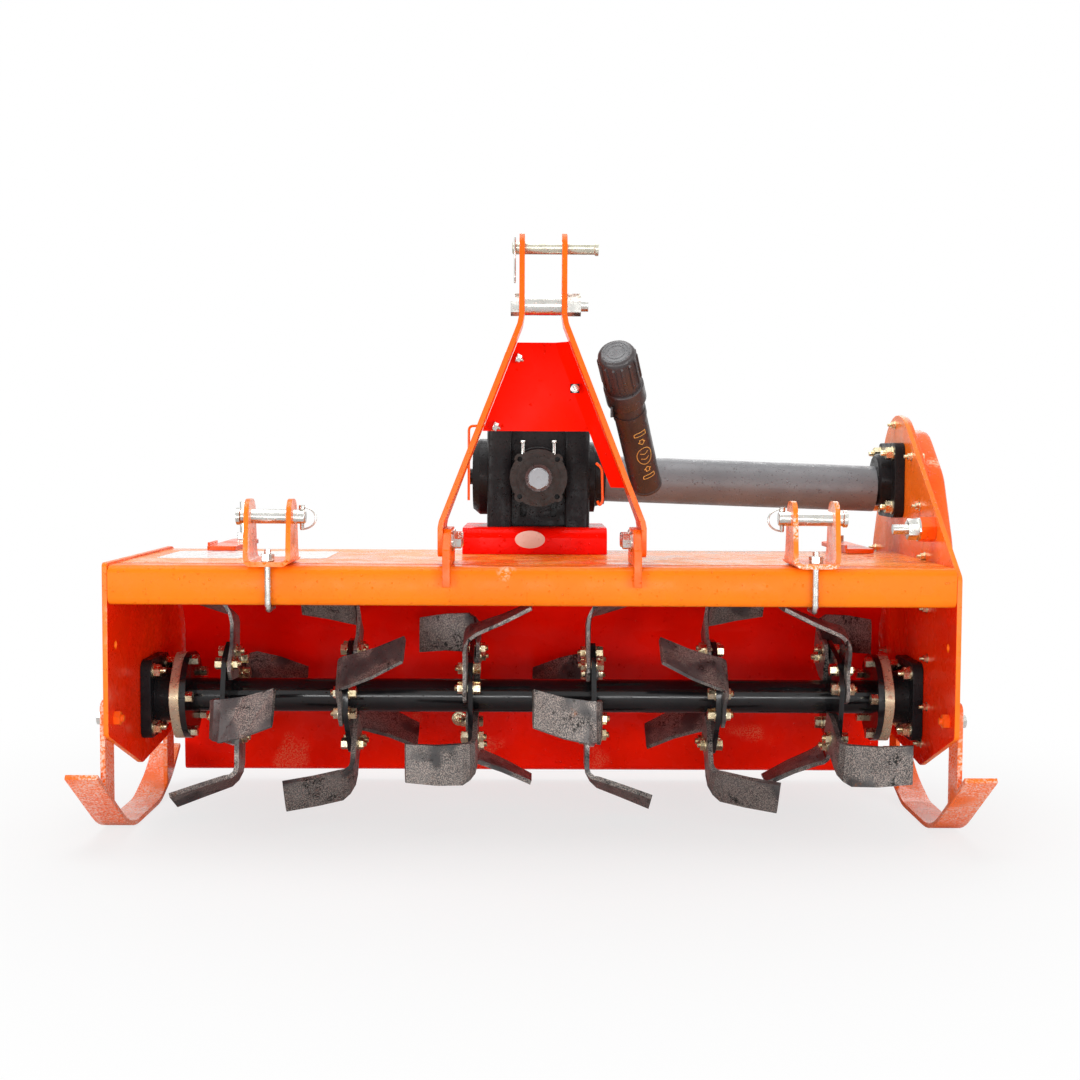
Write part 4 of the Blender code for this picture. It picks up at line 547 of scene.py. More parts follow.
def add_hexagon(work, at, direction, across, height):
    """Bolt head or nut with its corners turned off."""
    along = Vector(direction).normalized()
    side = along.orthogonal().normalized()
    up = along.cross(side)
    rings = [[], [], []]
    for k in range(24):
        spoke = 2.0 * pi * k / 24
        corner = across / 2.0 / cos(spoke % (pi / 3.0) - pi / 6.0)
        levels = ((0.0, corner), (height - (corner - across * 0.48) * 0.7, corner), (height, across * 0.46))
        for ring, (rise, radius) in zip(rings, levels):
            ring.append(Vector(at) + along * rise + (side * cos(spoke) + up * sin(spoke)) * radius)
    add_loft(work, rings)


def add_thread(work, at, direction, radius, reach):
    """Bolt end with its thread as turned ridges."""
    pitch = radius * 0.32
    profile = [(0.0, radius)]
    for ridge in range(int(reach / pitch)):
        profile.append((pitch * (ridge + 0.5), radius * 0.88))
        profile.append((pitch * (ridge + 1.0), radius))
    profile.append((reach + radius * 0.2, radius * 0.74))
    add_turned(work, at, direction, profile, 16)


def add_fastener(work, at, direction, across, height, thread=0.0, washer=1.0):
    """Washer, hexagon and thread end, standing on a point of a face."""
    along = Vector(direction).normalized()
    foot = Vector(at)
    if washer:
        thick = across * 0.12
        add_turned(work, foot, along, ((0.0, across * 0.66 * washer), (thick * 0.8, across * 0.66 * washer),
                                       (thick, across * 0.62 * washer)))
        foot += along * thick
    add_hexagon(work, foot, along, across, height)
    if thread:
        add_thread(work, foot + along * (height - 0.0003), along, across * 0.29, thread)


def new_piece(name, work, finish, body, crease=radians(35.0)):
    """Mesh piece from a bmesh, riding on a body."""
    bmesh.ops.recalc_face_normals(work, faces=work.faces)
    mesh = bpy.data.meshes.new(name)
    work.to_mesh(mesh)
    work.free()
    mesh.materials.append(finish)
    mesh.shade_smooth()
    mesh.set_sharp_from_angle(angle=crease)
    made = bpy.data.objects.new(name, mesh)
    scene.collection.objects.link(made)
    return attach(made, body)


plate_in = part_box("right_side_plate")[0][0]
cover_low, cover_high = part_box("gear_case_cover")
COVER_FLANGE = 0.006
COVER_HEX = 0.0105           # across the flats
COVER_BOLTS = (              # back from the beam's face, height
    (0.413, 0.668), (0.290, 0.612), (0.231, 0.530), (0.192, 0.449), (0.174, 0.365), (0.164, 0.285),
    (0.162, 0.206), (0.195, 0.140), (0.300, 0.138), (0.547, 0.442), (0.497, 0.600), (0.510, 0.350),
    (0.452, 0.262), (0.385, 0.205),
)
work = bmesh.new()
for back, z in COVER_BOLTS:
    add_fastener(work, (plate_in, front + back, z), (-1.0, 0.0, 0.0), COVER_HEX, 0.006, 0.006, 1.1)
    add_fastener(work, (cover_low[0] + COVER_FLANGE, front + back, z), (1.0, 0.0, 0.0), COVER_HEX, 0.005,
                 washer=1.1)
new_piece("cover_bolts", work, yellow_zinc, "machine")

# Black castings: gearbox, bearing housings and the cap, in satin black over a fine sand-cast skin.
# Four yellow zinc bolts hold each housing, with their nuts on its inner side.
SLAB_THICK = 0.017
SLAB_BOLT = 0.0465           # from the housing's axis, both ways
SLAB_HEX = 0.019
casting = wet_finish(
    "black_casting", (0.010, 0.0095, 0.011), (0.018, 0.016, 0.016), (0.26, 0.46), (300.0, 0.40),
    stains_and_sheen=(((0.05, 0.03, 0.022), 0.15, 14.0, 180.0),), scale=18.0, specular=0.10, grain=0.00005)
shaft_low, shaft_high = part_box("input_shaft")
input_x = (shaft_low[0] + shaft_high[0]) / 2.0
input_z = (shaft_low[2] + shaft_high[2]) / 2.0
box_low, box_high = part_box("gearbox")
flange_y = box_low[1]
FLANGE_DEEP = 0.004          # face and rim of the input flange
FLANGE_HOLE = 0.0314         # from the shaft's axis, both ways
FLANGE_HOLE_RADIUS = 0.0044
SLOT_X = 0.0262              # slots below the flange, from the shaft's axis
SLOT_RADIUS = 0.0062
SLOT_HEIGHTS = (0.511, 0.5155, 0.520, 0.5245)
flange_skin = wet_finish(
    "flange_skin", (0.026, 0.020, 0.018), (0.038, 0.029, 0.025), (0.34, 0.52), (320.0, 0.12),
    scale=30.0, specular=0.18, grain=0.00005)


def on_input_flange(face):
    return all(corner.co.y < flange_y + FLANGE_DEEP for corner in face.verts)


round_holes = []
for a in (-1.0, 1.0):
    hole_x = input_x + a * FLANGE_HOLE
    slot_x = input_x + a * SLOT_X
    for b in (-1.0, 1.0):
        hole_z = input_z + b * FLANGE_HOLE
        round_holes.append(((hole_x, flange_y - 0.01, hole_z), (hole_x, flange_y + 0.013, hole_z),
                            FLANGE_HOLE_RADIUS))
    for rise in SLOT_HEIGHTS:
        round_holes.append(((slot_x, flange_y + 0.05, rise), (slot_x, flange_y + 0.097, rise), SLOT_RADIUS))
dressed("gearbox", casting, 0.0014, 3, others=((flange_skin, on_input_flange),), holes=round_holes)
for name in ("upper_bearing_housing", "left_rotor_bearing", "right_rotor_bearing", "left_bearing_cap"):
    dressed(name, casting, 0.0014, 3)
work = bmesh.new()
for name, side in (("left_rotor_bearing", 1.0), ("right_rotor_bearing", -1.0),
                   ("upper_bearing_housing", -1.0)):
    low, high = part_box(name)
    face = low[0] + SLAB_THICK if side > 0.0 else high[0] - SLAB_THICK
    axis_y = (low[1] + high[1]) / 2.0
    axis_z = (low[2] + high[2]) / 2.0
    for a in (-SLAB_BOLT, SLAB_BOLT):
        for b in (-SLAB_BOLT, SLAB_BOLT):
            add_fastener(work, (face, axis_y + a, axis_z + b), (side, 0.0, 0.0), SLAB_HEX, 0.011, 0.007)
            if name == "left_rotor_bearing":
                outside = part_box("left_side_plate")[0][0]
                add_fastener(work, (outside, axis_y + a, axis_z + b), (-1.0, 0.0, 0.0), SLAB_HEX, 0.009)
new_piece("housing_bolts", work, yellow_zinc, "machine")

# Cross shaft's guard: an extruded plastic tube, matt dark grey, from the gearbox to the tower.
# Rain stands on it in drops.
guard_plastic = wet_finish(
    "guard_plastic", (0.150, 0.150, 0.158), (0.120, 0.120, 0.128), (0.38, 0.50), (230.0, 0.45), scale=14.0,
    specular=0.6, grain=0.00002)
dressed("drive_shaft_guard", guard_plastic, 0.0)

# Gear case cover: a deep orange casting, screwed to the outside of the right side plate.
# A bright plug for the oil sits towards its rear.
PLUG_BACK = 0.470
PLUG_Z = 0.585
# Pale patches in the cover's paint are painted reflections of the sky.
cover_paint = wet_finish(
    "cover_paint", (0.96, 0.13, 0.006), (0.93, 0.10, 0.004), (0.18, 0.34), (220.0, 0.30),
    stains_and_sheen=((PAINTED_SKY_SHEEN, 0.22, 8.0, 200.0),), scale=6.0, specular=0.32)
dressed("gear_case_cover", cover_paint, 0.0012, 3)
work = bmesh.new()
plug_at = Vector((cover_high[0] - 0.004, front + PLUG_BACK, PLUG_Z))
add_turned(work, plug_at, (1.0, 0.0, 0.0), ((-0.004, 0.012), (0.001, 0.012), (0.002, 0.0112)), 32)
add_hexagon(work, plug_at + Vector((0.002, 0.0, 0.0)), (1.0, 0.0, 0.0), 0.012, 0.0018)
new_piece("cover_plug", work, zinc, "machine")

# Gearbox seat: a folded channel. A blank oval label sits on its front face.
# The gearbox has a brown lip seal round the shaft and two bright studs over its flange.
# The seat's deep red is painted shade on the orange paint.
seat_painted_shade = wet_finish(
    "seat_painted_shade", (0.97, 0.005, 0.0002), (0.94, 0.004, 0.0002), (0.14, 0.30), (230.0, 0.25),
    scale=6.0, specular=0.05)
dressed("gearbox_saddle", seat_painted_shade, 0.0012, 3)
label = wet_finish(
    "label", (0.86, 0.62, 0.55), (0.80, 0.56, 0.50), (0.30, 0.45), (200.0, 0.15), specular=0.4)
saddle_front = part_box("gearbox_saddle")[0][1]
LABEL_X = -0.005
LABEL_Z = 0.4686
LABEL_HALF = (0.0256, 0.0150)        # across, up
work = bmesh.new()
rings = []
for rise, shrink in ((0.0, 1.0), (0.0003, 0.99)):
    rings.append([(LABEL_X + LABEL_HALF[0] * shrink * cos(2.0 * pi * k / 40), saddle_front - rise,
                   LABEL_Z + LABEL_HALF[1] * shrink * sin(2.0 * pi * k / 40)) for k in range(40)])
add_loft(work, rings)
new_piece("seat_label", work, label, "machine")
seal_brown = wet_finish(
    "seal_brown", (0.085, 0.020, 0.012), (0.050, 0.014, 0.010), (0.25, 0.45), (300.0, 0.1),
    scale=60.0, specular=0.5)
work = bmesh.new()
add_turned(work, (input_x, flange_y + 0.001, input_z), (0.0, 1.0, 0.0), (
    (0.0, 0.0228), (0.006, 0.0228), (0.006, 0.0190), (0.003, 0.0184), (0.0, 0.0196)), 40, True)
new_piece("shaft_seal", work, seal_brown, "machine")
STUD_APART = 0.0268          # each way from the shaft
work = bmesh.new()
for x in (input_x - STUD_APART, input_x + STUD_APART):
    at = Vector((x, flange_y + 0.062, input_z + 0.042))
    add_turned(work, at, (0.0, 0.0, 1.0), ((-0.002, 0.0034), (0.017, 0.0034), (0.018, 0.0028)), 14)
    add_turned(work, at + Vector((0.0, 0.0, 0.017)), (0.0, 0.0, 1.0), (
        (0.0, 0.0048), (0.0012, 0.0052), (0.0038, 0.0050), (0.0046, 0.0036)), 18)
new_piece("gearbox_studs", work, zinc, "machine")


def add_wire(work, points, radius, sides=10, closed=False):
    """Round wire along points."""
    points = [Vector(point) for point in points]
    count = len(points)
    rings = []
    side = None
    for index, point in enumerate(points):
        if closed:
            along = points[(index + 1) % count] - points[index - 1]
        else:
            along = points[min(index + 1, count - 1)] - points[max(index - 1, 0)]
        along.normalize()
        side = along.orthogonal() if side is None else side - along * side.dot(along)
        side.normalize()
        up = along.cross(side)
        spokes = [2.0 * pi * k / sides for k in range(sides)]
        rings.append([point + (side * cos(spoke) + up * sin(spoke)) * radius for spoke in spokes])
    add_loft(work, rings, closed)


work = bmesh.new()
for x in (box_low[0] + 0.045, box_high[0] - 0.045):
    for y in (flange_y + 0.11, flange_y + 0.20):
        add_fastener(work, (x, y, box_high[2]), (0.0, 0.0, 1.0), 0.013, 0.007)
NECK_RIB = 0.050             # rib over the neck, from the shaft's axis
neck_rib = []
for spoke in range(58, 123, 4):
    neck_rib.append((input_x + NECK_RIB * cos(radians(spoke)), flange_y + 0.083,
                     input_z + NECK_RIB * sin(radians(spoke))))
add_wire(work, neck_rib, 0.0030)
new_piece("gearbox_screws", work, casting, "machine")

# Splined input stub: ground steel, in the middle of the gearbox's flange.
# Turning marks ring its end round the centre hole.
steel = bpy.data.materials.new("ground_steel")
steel.use_nodes = True
tree = steel.node_tree
shader = tree.nodes["Principled BSDF"]
shader.inputs["Metallic"].default_value = 1.0
place = tree.nodes.new("ShaderNodeTexCoord")
parts = tree.nodes.new("ShaderNodeSeparateXYZ")
tree.links.new(place.outputs["Object"], parts.inputs[0])
off_x = math_node(tree, "POWER", math_node(tree, "SUBTRACT", parts.outputs["X"], input_x), 2.0)
off_z = math_node(tree, "POWER", math_node(tree, "SUBTRACT", parts.outputs["Z"], input_z), 2.0)
radius = math_node(tree, "SQRT", math_node(tree, "ADD", off_x, off_z))
marks = tree.nodes.new("ShaderNodeTexNoise")
marks.noise_dimensions = "1D"
marks.inputs["Scale"].default_value = 1600.0
tree.links.new(radius, marks.inputs["W"])
tree.links.new(mix_node(tree, marks.outputs["Fac"], (0.10, 0.10, 0.105, 1.0), (0.30, 0.30, 0.31, 1.0)),
               shader.inputs["Base Color"])
tree.links.new(ramp_node(tree, marks.outputs["Fac"], 0.3, 0.7, 0.28, 0.5), shader.inputs["Roughness"])
dressed("input_shaft", steel, 0.0006, 2,
        others=((seal_brown, lambda face: face.calc_center_median().y > flange_y - 0.0005),))
work = bmesh.new()
add_turned(work, (input_x, shaft_low[1] - 0.0002, input_z), (0.0, 1.0, 0.0), (
    (0.0030, 0.0004), (0.0010, 0.0020), (0.0, 0.0032), (0.0, 0.0158), (0.0016, 0.0175),
    (0.0060, 0.0175)), 48)
new_piece("shaft_nose", work, steel, "input")

# Mast: two bent flat bars bolted to lugs on the beam, with a guard sheet between them.
# The sheet has a folded wing down the right bar, and small bolts hold it to the bars.
mast_paint = wet_finish(
    "mast_paint", (0.97, 0.14, 0.004), (0.95, 0.10, 0.003), (0.20, 0.34), (240.0, 0.20),
    scale=6.0, specular=0.22)
# The guard sheet's deep red is painted shade on the orange paint.
sheet_painted_shade = wet_finish(
    "sheet_painted_shade", (0.95, 0.009, 0.0002), (0.93, 0.006, 0.0002), (0.20, 0.34), (230.0, 0.06),
    scale=4.0, specular=0.03)
dressed("mast_guard", sheet_painted_shade, 0.0006)
for name in ("left_mast_leg", "right_mast_leg", "left_mast_lug", "right_mast_lug"):
    dressed(name, mast_paint, 0.0012, 3)
LUG_BOLT_BACKS = (0.040, 0.098)
LUG_BOLT_Z = 0.4800
work = bmesh.new()
for name, side in (("left", 1.0), ("right", -1.0)):
    low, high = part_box(name + "_mast_lug")
    leg_low, leg_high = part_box(name + "_mast_leg")
    inner = high[0] if side > 0.0 else low[0]
    outer = leg_low[0] if side > 0.0 else leg_high[0]
    for back in LUG_BOLT_BACKS:
        add_fastener(work, (inner, front + back, LUG_BOLT_Z), (side, 0.0, 0.0), 0.0215, 0.0125, 0.0, 1.12)
        add_turned(work, (outer, front + back, LUG_BOLT_Z), (-side, 0.0, 0.0),
                   ((-0.001, 0.0085), (0.0006, 0.0075)))
BAR_BOLTS = ((-0.0335, 0.762), (-0.0690, 0.657))     # across and up, on the left bar
BAR_BOLT_BACK = 0.076
BAR_HEX = 0.0115
OFF_BAR_RIGHT = (0.93, 0.0, -0.37)
OFF_BAR_LEFT = (-0.93, 0.0, 0.37)
bar_y = front + BAR_BOLT_BACK
for x, z in BAR_BOLTS:
    add_fastener(work, (x + 0.007, bar_y, z), OFF_BAR_RIGHT, BAR_HEX, 0.006, 0.004, 1.1)
    add_fastener(work, (x - 0.005, bar_y, z + 0.004), OFF_BAR_LEFT, BAR_HEX, 0.005)
SHEET_BOLT = (0.0635, 0.7143)
sheet_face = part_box("mast_guard")[0][1]
sheet_bolt_at = (SHEET_BOLT[0], sheet_face - 0.0012, SHEET_BOLT[1])
add_fastener(work, sheet_bolt_at, (0.0, -1.0, 0.0), 0.010, 0.005, 0.003)
new_piece("mast_bolts", work, zinc, "machine")
# A dark square under the sheet's bolt, in black, is painted shade standing in for the cut-out round that
# bolt.
work = bmesh.new()
add_turned(work, (SHEET_BOLT[0], sheet_face + 0.0004, SHEET_BOLT[1]), (0.0, -1.0, 0.0), (
    (0.0, 0.0098), (0.0014, 0.0098), (0.0018, 0.0092)), 4)
new_piece("painted_cutout_shade", work, casting, "machine")

# Top link pin in worn zinc, and the spacer bolt in bright zinc.
# A spring clip hangs from the pin's left end.
worn_zinc = wet_finish(
    "worn_zinc", (0.66, 0.64, 0.52), (0.52, 0.50, 0.40), (0.20, 0.34), (300.0, 0.20),
    stains_and_sheen=(((0.42, 0.20, 0.08), 0.25, 30.0, 300.0),), metallic=0.9, scale=40.0)
dressed("top_link_pin", worn_zinc, 0.0006)
dressed("mast_spacer_bolt", zinc, 0.0006)


def bent(corners, bend, steps=6):
    """Points of a wire whose corners are rounded."""
    corners = [Vector(corner) for corner in corners]
    points = [corners[0]]
    for before, here, after in zip(corners, corners[1:], corners[2:]):
        start = here + (before - here).normalized() * min(bend, (before - here).length * 0.49)
        end = here + (after - here).normalized() * min(bend, (after - here).length * 0.49)
        for step in range(steps + 1):
            t = step / steps
            points.append(start * (1.0 - t) ** 2 + here * 2.0 * t * (1.0 - t) + end * t ** 2)
    points.append(corners[-1])
    return points


pin_low, pin_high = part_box("top_link_pin")
pin_y = (pin_low[1] + pin_high[1]) / 2.0
pin_z = (pin_low[2] + pin_high[2]) / 2.0
clip_x = pin_low[0] + 0.004
work = bmesh.new()
add_wire(work, bent((
    (clip_x, pin_y, pin_z + 0.016), (clip_x, pin_y, pin_z - 0.046), (clip_x, pin_y - 0.006, pin_z - 0.054),
    (clip_x, pin_y - 0.012, pin_z - 0.046), (clip_x, pin_y - 0.011, pin_z - 0.020),
    (clip_x, pin_y - 0.0135, pin_z - 0.004), (clip_x, pin_y - 0.0125, pin_z + 0.012)), 0.006), 0.0014)
new_piece("top_pin_clip", work, zinc, "machine")
bolt_low, bolt_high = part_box("mast_spacer_bolt")
thread_y = (bolt_low[1] + bolt_high[1]) / 2.0
thread_z = (bolt_low[2] + bolt_high[2]) / 2.0
work = bmesh.new()
add_thread(work, (bolt_high[0] - 0.0105, thread_y, thread_z), (1.0, 0.0, 0.0), 0.0101, 0.0085)
new_piece("spacer_bolt_thread", work, zinc, "machine")

# Two painted wire hooks, bent from round bar, hang from the mast's bars.
# They hold the drive shaft and the stop cord while the machine is parked.
HOOK_WIRE = 0.0021           # radius
wire_y = front + 0.088
work = bmesh.new()
add_wire(work, bent((
    (-0.064, wire_y, 0.657), (-0.1005, wire_y, 0.657), (-0.1005, wire_y, 0.541)), 0.008), HOOK_WIRE)
add_wire(work, bent((
    (0.098, wire_y, 0.600), (0.1075, wire_y, 0.592), (0.1090, wire_y, 0.540), (0.1040, wire_y, 0.533),
    (0.1005, wire_y, 0.541)), 0.006), HOOK_WIRE)
new_piece("mast_hooks", work, mast_paint, "machine")

# Lower hitch: two bent U plates on the beam, each with a drilled pin kept by a lynch pin and its ring.
# A hook bolt round the beam holds each one down.
# Whitish patches on the clevis paint are painted reflections of the sky on the wet paint.
clevis_paint = wet_finish(
    "clevis_paint", (0.97, 0.21, 0.009), (0.95, 0.15, 0.006), (0.16, 0.34), (150.0, 0.40),
    stains_and_sheen=(((0.95, 0.62, 0.50), 0.55, 16.0, 330.0),), scale=9.0, specular=0.32)
# Inner faces of the cheeks: a paler orange thick with whitish patches, painted reflections of the sky on the
# wet paint.
clevis_inside_painted_sheen = wet_finish(
    "clevis_inside_painted_sheen", (0.95, 0.30, 0.12), (0.94, 0.20, 0.06), (0.16, 0.34), (190.0, 0.50),
    stains_and_sheen=(((0.96, 0.76, 0.66), 0.80, 20.0, 420.0),), scale=9.0, specular=0.3)
LYNCH_IN = 0.006             # from the pin's end
LYNCH_RISE = 0.0175
RING_REACH = 0.0215
RING_HALF = 0.0170
for name, side in (("left", -1.0), ("right", 1.0)):
    low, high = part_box(name + "_clevis")
    centre_x = (low[0] + high[0]) / 2.0

    def faces_in(face, centre_x=centre_x):
        """True on the cheeks' inner faces."""
        return face.normal.x * (centre_x - face.calc_center_median().x) > 0.01

    dressed(name + "_clevis", clevis_paint, 0.0012, 3, others=((clevis_inside_painted_sheen, faces_in),))
    dressed(name + "_clevis_pin", zinc, 0.0006)
    dressed(name + "_hook_bolt", zinc, 0.0006)
    low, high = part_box(name + "_clevis_pin")
    end_x = high[0] if side < 0.0 else low[0]
    inward = -side
    x = end_x - inward * LYNCH_IN
    y = (low[1] + high[1]) / 2.0
    z = (low[2] + high[2]) / 2.0
    work = bmesh.new()
    add_turned(work, (x, y, z + LYNCH_RISE), (0.0, 0.0, -1.0), (
        (0.0, 0.0042), (0.0015, 0.0048), (0.006, 0.0048), (0.0075, 0.0032), (0.036, 0.0032),
        (0.038, 0.0022)), 16)
    loop = []
    for step in range(17):
        sweep = pi * step / 16
        loop.append((x + inward * RING_REACH * sin(sweep), y - 0.003 * sin(sweep),
                     z - 0.002 + RING_HALF * cos(sweep)))
    add_wire(work, loop, 0.0014)
    new_piece(name + "_lynch_pin", work, zinc, "machine")
    bolt_low, bolt_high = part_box(name + "_hook_bolt")
    work = bmesh.new()
    bolt_x = (bolt_low[0] + bolt_high[0]) / 2.0
    add_thread(work, (bolt_x, front - 0.0055, bolt_high[2] - 0.0068), (0.0, 0.0, 1.0), 0.0053, 0.0060)
    new_piece(name + "_hook_thread", work, zinc, "machine")

# Tube for the papers: moulded black plastic with a ribbed screw cap and a plain raised disc on its end.
# A band and a slim arm hold it to the mast.
tube_plastic = wet_finish(
    "tube_plastic", (0.030, 0.024, 0.025), (0.045, 0.032, 0.032), (0.30, 0.44), (210.0, 0.22), scale=16.0,
    specular=0.55)
TUBE_TOP = Vector((0.1235, front + 0.010, rotor_z + 0.559))
TUBE_FOOT = Vector((0.188, front + 0.240, rotor_z + 0.356))
TUBE_RADIUS = 0.0255
CAP_RADIUS = 0.029
COLLAR_RADIUS = 0.0315
RIBS = 14
BAND = (0.125, 0.139)        # along the tube from its cap
ARM_FROM = Vector((0.1195, front + 0.050, 0.678))
ARM_TO = Vector((0.1265, front + 0.107, 0.6815))
ARM_CORNERS = ((-0.0015, -0.008), (0.0015, -0.008), (0.0015, 0.008), (-0.0015, 0.008))
tube_along = (TUBE_FOOT - TUBE_TOP).normalized()
tube_length = (TUBE_FOOT - TUBE_TOP).length
work = bmesh.new()
add_turned(work, TUBE_TOP, tube_along, (
    (0.0, CAP_RADIUS - 0.006), (0.0015, CAP_RADIUS - 0.0025), (0.005, CAP_RADIUS - 0.0003),
    (0.009, CAP_RADIUS), (0.068, CAP_RADIUS), (0.070, CAP_RADIUS - 0.0012),
    (0.0705, COLLAR_RADIUS - 0.0015), (0.072, COLLAR_RADIUS), (0.102, COLLAR_RADIUS),
    (0.104, COLLAR_RADIUS - 0.0012), (0.1085, TUBE_RADIUS),
    (tube_length - 0.006, TUBE_RADIUS), (tube_length - 0.0055, TUBE_RADIUS + 0.0009),
    (tube_length - 0.0015, TUBE_RADIUS + 0.0009), (tube_length, TUBE_RADIUS - 0.001)), 48)
add_turned(work, TUBE_TOP, tube_along, (
    (BAND[0], TUBE_RADIUS - 0.0004), (BAND[0], TUBE_RADIUS + 0.0012), (BAND[1], TUBE_RADIUS + 0.0012),
    (BAND[1], TUBE_RADIUS - 0.0004)), 48)
add_loft(work, [[point + Vector((a, 0.0, b)) for a, b in ARM_CORNERS] for point in (ARM_FROM, ARM_TO)])
made = new_piece("manual_tube_shell", work, tube_plastic, "machine")
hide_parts("manual_tube")
tube_side = Vector((1.0, 0.0, 0.0))
tube_side = (tube_side - tube_along * tube_side.dot(tube_along)).normalized()
tube_up = tube_along.cross(tube_side)


def on_tube(distance, spoke, radius):
    return TUBE_TOP + tube_along * distance + (tube_side * cos(spoke) + tube_up * sin(spoke)) * radius


RIB_PROFILE = (              # along the cap, height over it, half width as an angle
    (0.008, -0.001, 0.06), (0.012, 0.0022, 0.09), (0.056, 0.0022, 0.09), (0.064, -0.001, 0.06))
work = bmesh.new()
for rib in range(RIBS):
    spoke = 2.0 * pi * rib / RIBS
    rings = []
    for distance, rise, width in RIB_PROFILE:
        foot = CAP_RADIUS - 0.002
        top = CAP_RADIUS + rise
        rings.append([
            on_tube(distance, spoke - width, foot), on_tube(distance, spoke - width * 0.7, top),
            on_tube(distance, spoke + width * 0.7, top), on_tube(distance, spoke + width, foot)])
    add_loft(work, rings)
new_piece("tube_cap_ribs", work, tube_plastic, "machine")
disc_grey = wet_finish(
    "disc_grey", (0.115, 0.115, 0.12), (0.09, 0.09, 0.095), (0.35, 0.5), (200.0, 0.25),
    scale=20.0, specular=0.5)
work = bmesh.new()
add_turned(work, TUBE_TOP - tube_along * 0.0002, tube_along, ((0.0, 0.0222), (0.0012, 0.0226)), 36)
add_turned(work, TUBE_TOP - tube_along * 0.0008, tube_along, (
    (0.0, 0.0205), (0.0, 0.0192), (0.001, 0.0190), (0.001, 0.0207)), 36, True)
add_turned(work, TUBE_TOP - tube_along * 0.0008, tube_along, (
    (0.0, 0.0140), (0.0, 0.0130), (0.001, 0.0128), (0.001, 0.0142)), 36, True)
new_piece("tube_cap_disc", work, disc_grey, "machine")

# Plain gold marks printed on the tube, a hair above its plastic.
# They are an oval round two chevrons, with an arrow and a page on each side.
MARK_SPOKE = radians(64.0)     # towards the front and a little right
gold = wet_finish("gold_ink", (0.80, 0.46, 0.12), (0.72, 0.40, 0.10), (0.3, 0.4), (300.0, 0.1), specular=0.4)
work = bmesh.new()
strokes = []
MARK_MIDDLE = 0.216
oval = [(MARK_MIDDLE + 0.019 * cos(2.0 * pi * k / 28), 0.0130 * sin(2.0 * pi * k / 28)) for k in range(29)]
strokes.append(oval)
for a, b in ((-0.008, -0.004), (0.004, 0.008)):
    strokes.append([(MARK_MIDDLE + a, -0.007), (MARK_MIDDLE + b, 0.0), (MARK_MIDDLE + a, 0.007)])
for end in (MARK_MIDDLE - 0.052, MARK_MIDDLE + 0.050):
    strokes.append([(end - 0.004, -0.010), (end + 0.004, -0.010), (end + 0.004, 0.010), (end - 0.002, 0.010),
                    (end - 0.004, 0.006), (end - 0.004, -0.010)])
for middle, way in ((MARK_MIDDLE - 0.034, 1.0), (MARK_MIDDLE + 0.032, -1.0)):
    end = middle - 0.005 * way
    strokes.append([(end, -0.003), (middle, -0.003), (middle, -0.006), (middle + 0.006 * way, 0.0),
                    (middle, 0.006), (middle, 0.003), (end, 0.003), (end, -0.003)])
HALF_LINE = 0.00055
for stroke in strokes:
    for (a, b), (c, d) in zip(stroke, stroke[1:]):
        run = hypot(c - a, d - b)
        over_a = -(d - b) / run * HALF_LINE
        over_b = (c - a) / run * HALF_LINE
        pieces = int(run / 0.0025) + 1
        rings = []
        for k in range(pieces + 1):
            p = a + (c - a) * k / pieces
            q = b + (d - b) * k / pieces
            rings.append([
                on_tube(p - over_a, MARK_SPOKE + (q - over_b) / TUBE_RADIUS, TUBE_RADIUS - 0.0004),
                on_tube(p + over_a, MARK_SPOKE + (q + over_b) / TUBE_RADIUS, TUBE_RADIUS - 0.0004),
                on_tube(p + over_a, MARK_SPOKE + (q + over_b) / TUBE_RADIUS, TUBE_RADIUS + 0.0003),
                on_tube(p - over_a, MARK_SPOKE + (q - over_b) / TUBE_RADIUS, TUBE_RADIUS + 0.0003)])
        add_loft(work, rings)
new_piece("tube_marks", work, gold, "machine")

# Stud inside the tower: an orange hexagon boss on the side plate.
# A threaded zinc stud with its washer and nut stands out of it.
BOSS_LENGTH = 0.024
boss_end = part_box("side_stud")[1][0] - BOSS_LENGTH
dressed("side_stud", zinc, 0.0008, 2,
        others=((cover_paint, lambda face: face.calc_center_median().x > boss_end + 0.0002),))

# Skids: bent flat straps with two upright tabs each, bolted through the side plates.
# The bolt heads stand outside the tabs, and painted nuts are welded inside the plates.
SKID_BOLTS = ((0.036, 0.2045), (0.425, 0.172))     # back from the beam's face, height
SKID_TAB = 0.0083
# Pale pink patches on the skids are painted highlights of the wet paint.
skid_paint = wet_finish(
    "skid_paint", (0.97, 0.17, 0.010), (0.95, 0.12, 0.006), (0.14, 0.32), (230.0, 0.35),
    stains_and_sheen=(((0.97, 0.50, 0.38), 0.70, 7.0, 300.0),), scale=6.0, specular=0.4)
heads = bmesh.new()
nuts = bmesh.new()
for name, side in (("left", -1.0), ("right", 1.0)):
    dressed(name + "_skid", skid_paint, 0.0012, 3)
    plate_low, plate_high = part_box(name + "_side_plate")
    outer = plate_low[0] if side < 0.0 else plate_high[0]
    inner = plate_high[0] if side < 0.0 else plate_low[0]
    for back, z in SKID_BOLTS:
        add_fastener(heads, (outer + side * SKID_TAB, front + back, z), (side, 0.0, 0.0), 0.019, 0.008)
        add_hexagon(nuts, (inner, front + back, z), (-side, 0.0, 0.0), 0.020, 0.010)
        add_thread(nuts, (inner - side * 0.0095, front + back, z), (-side, 0.0, 0.0), 0.0058, 0.004)
new_piece("skid_bolts", heads, zinc, "machine")
new_piece("skid_nuts", nuts, cover_paint, "machine")

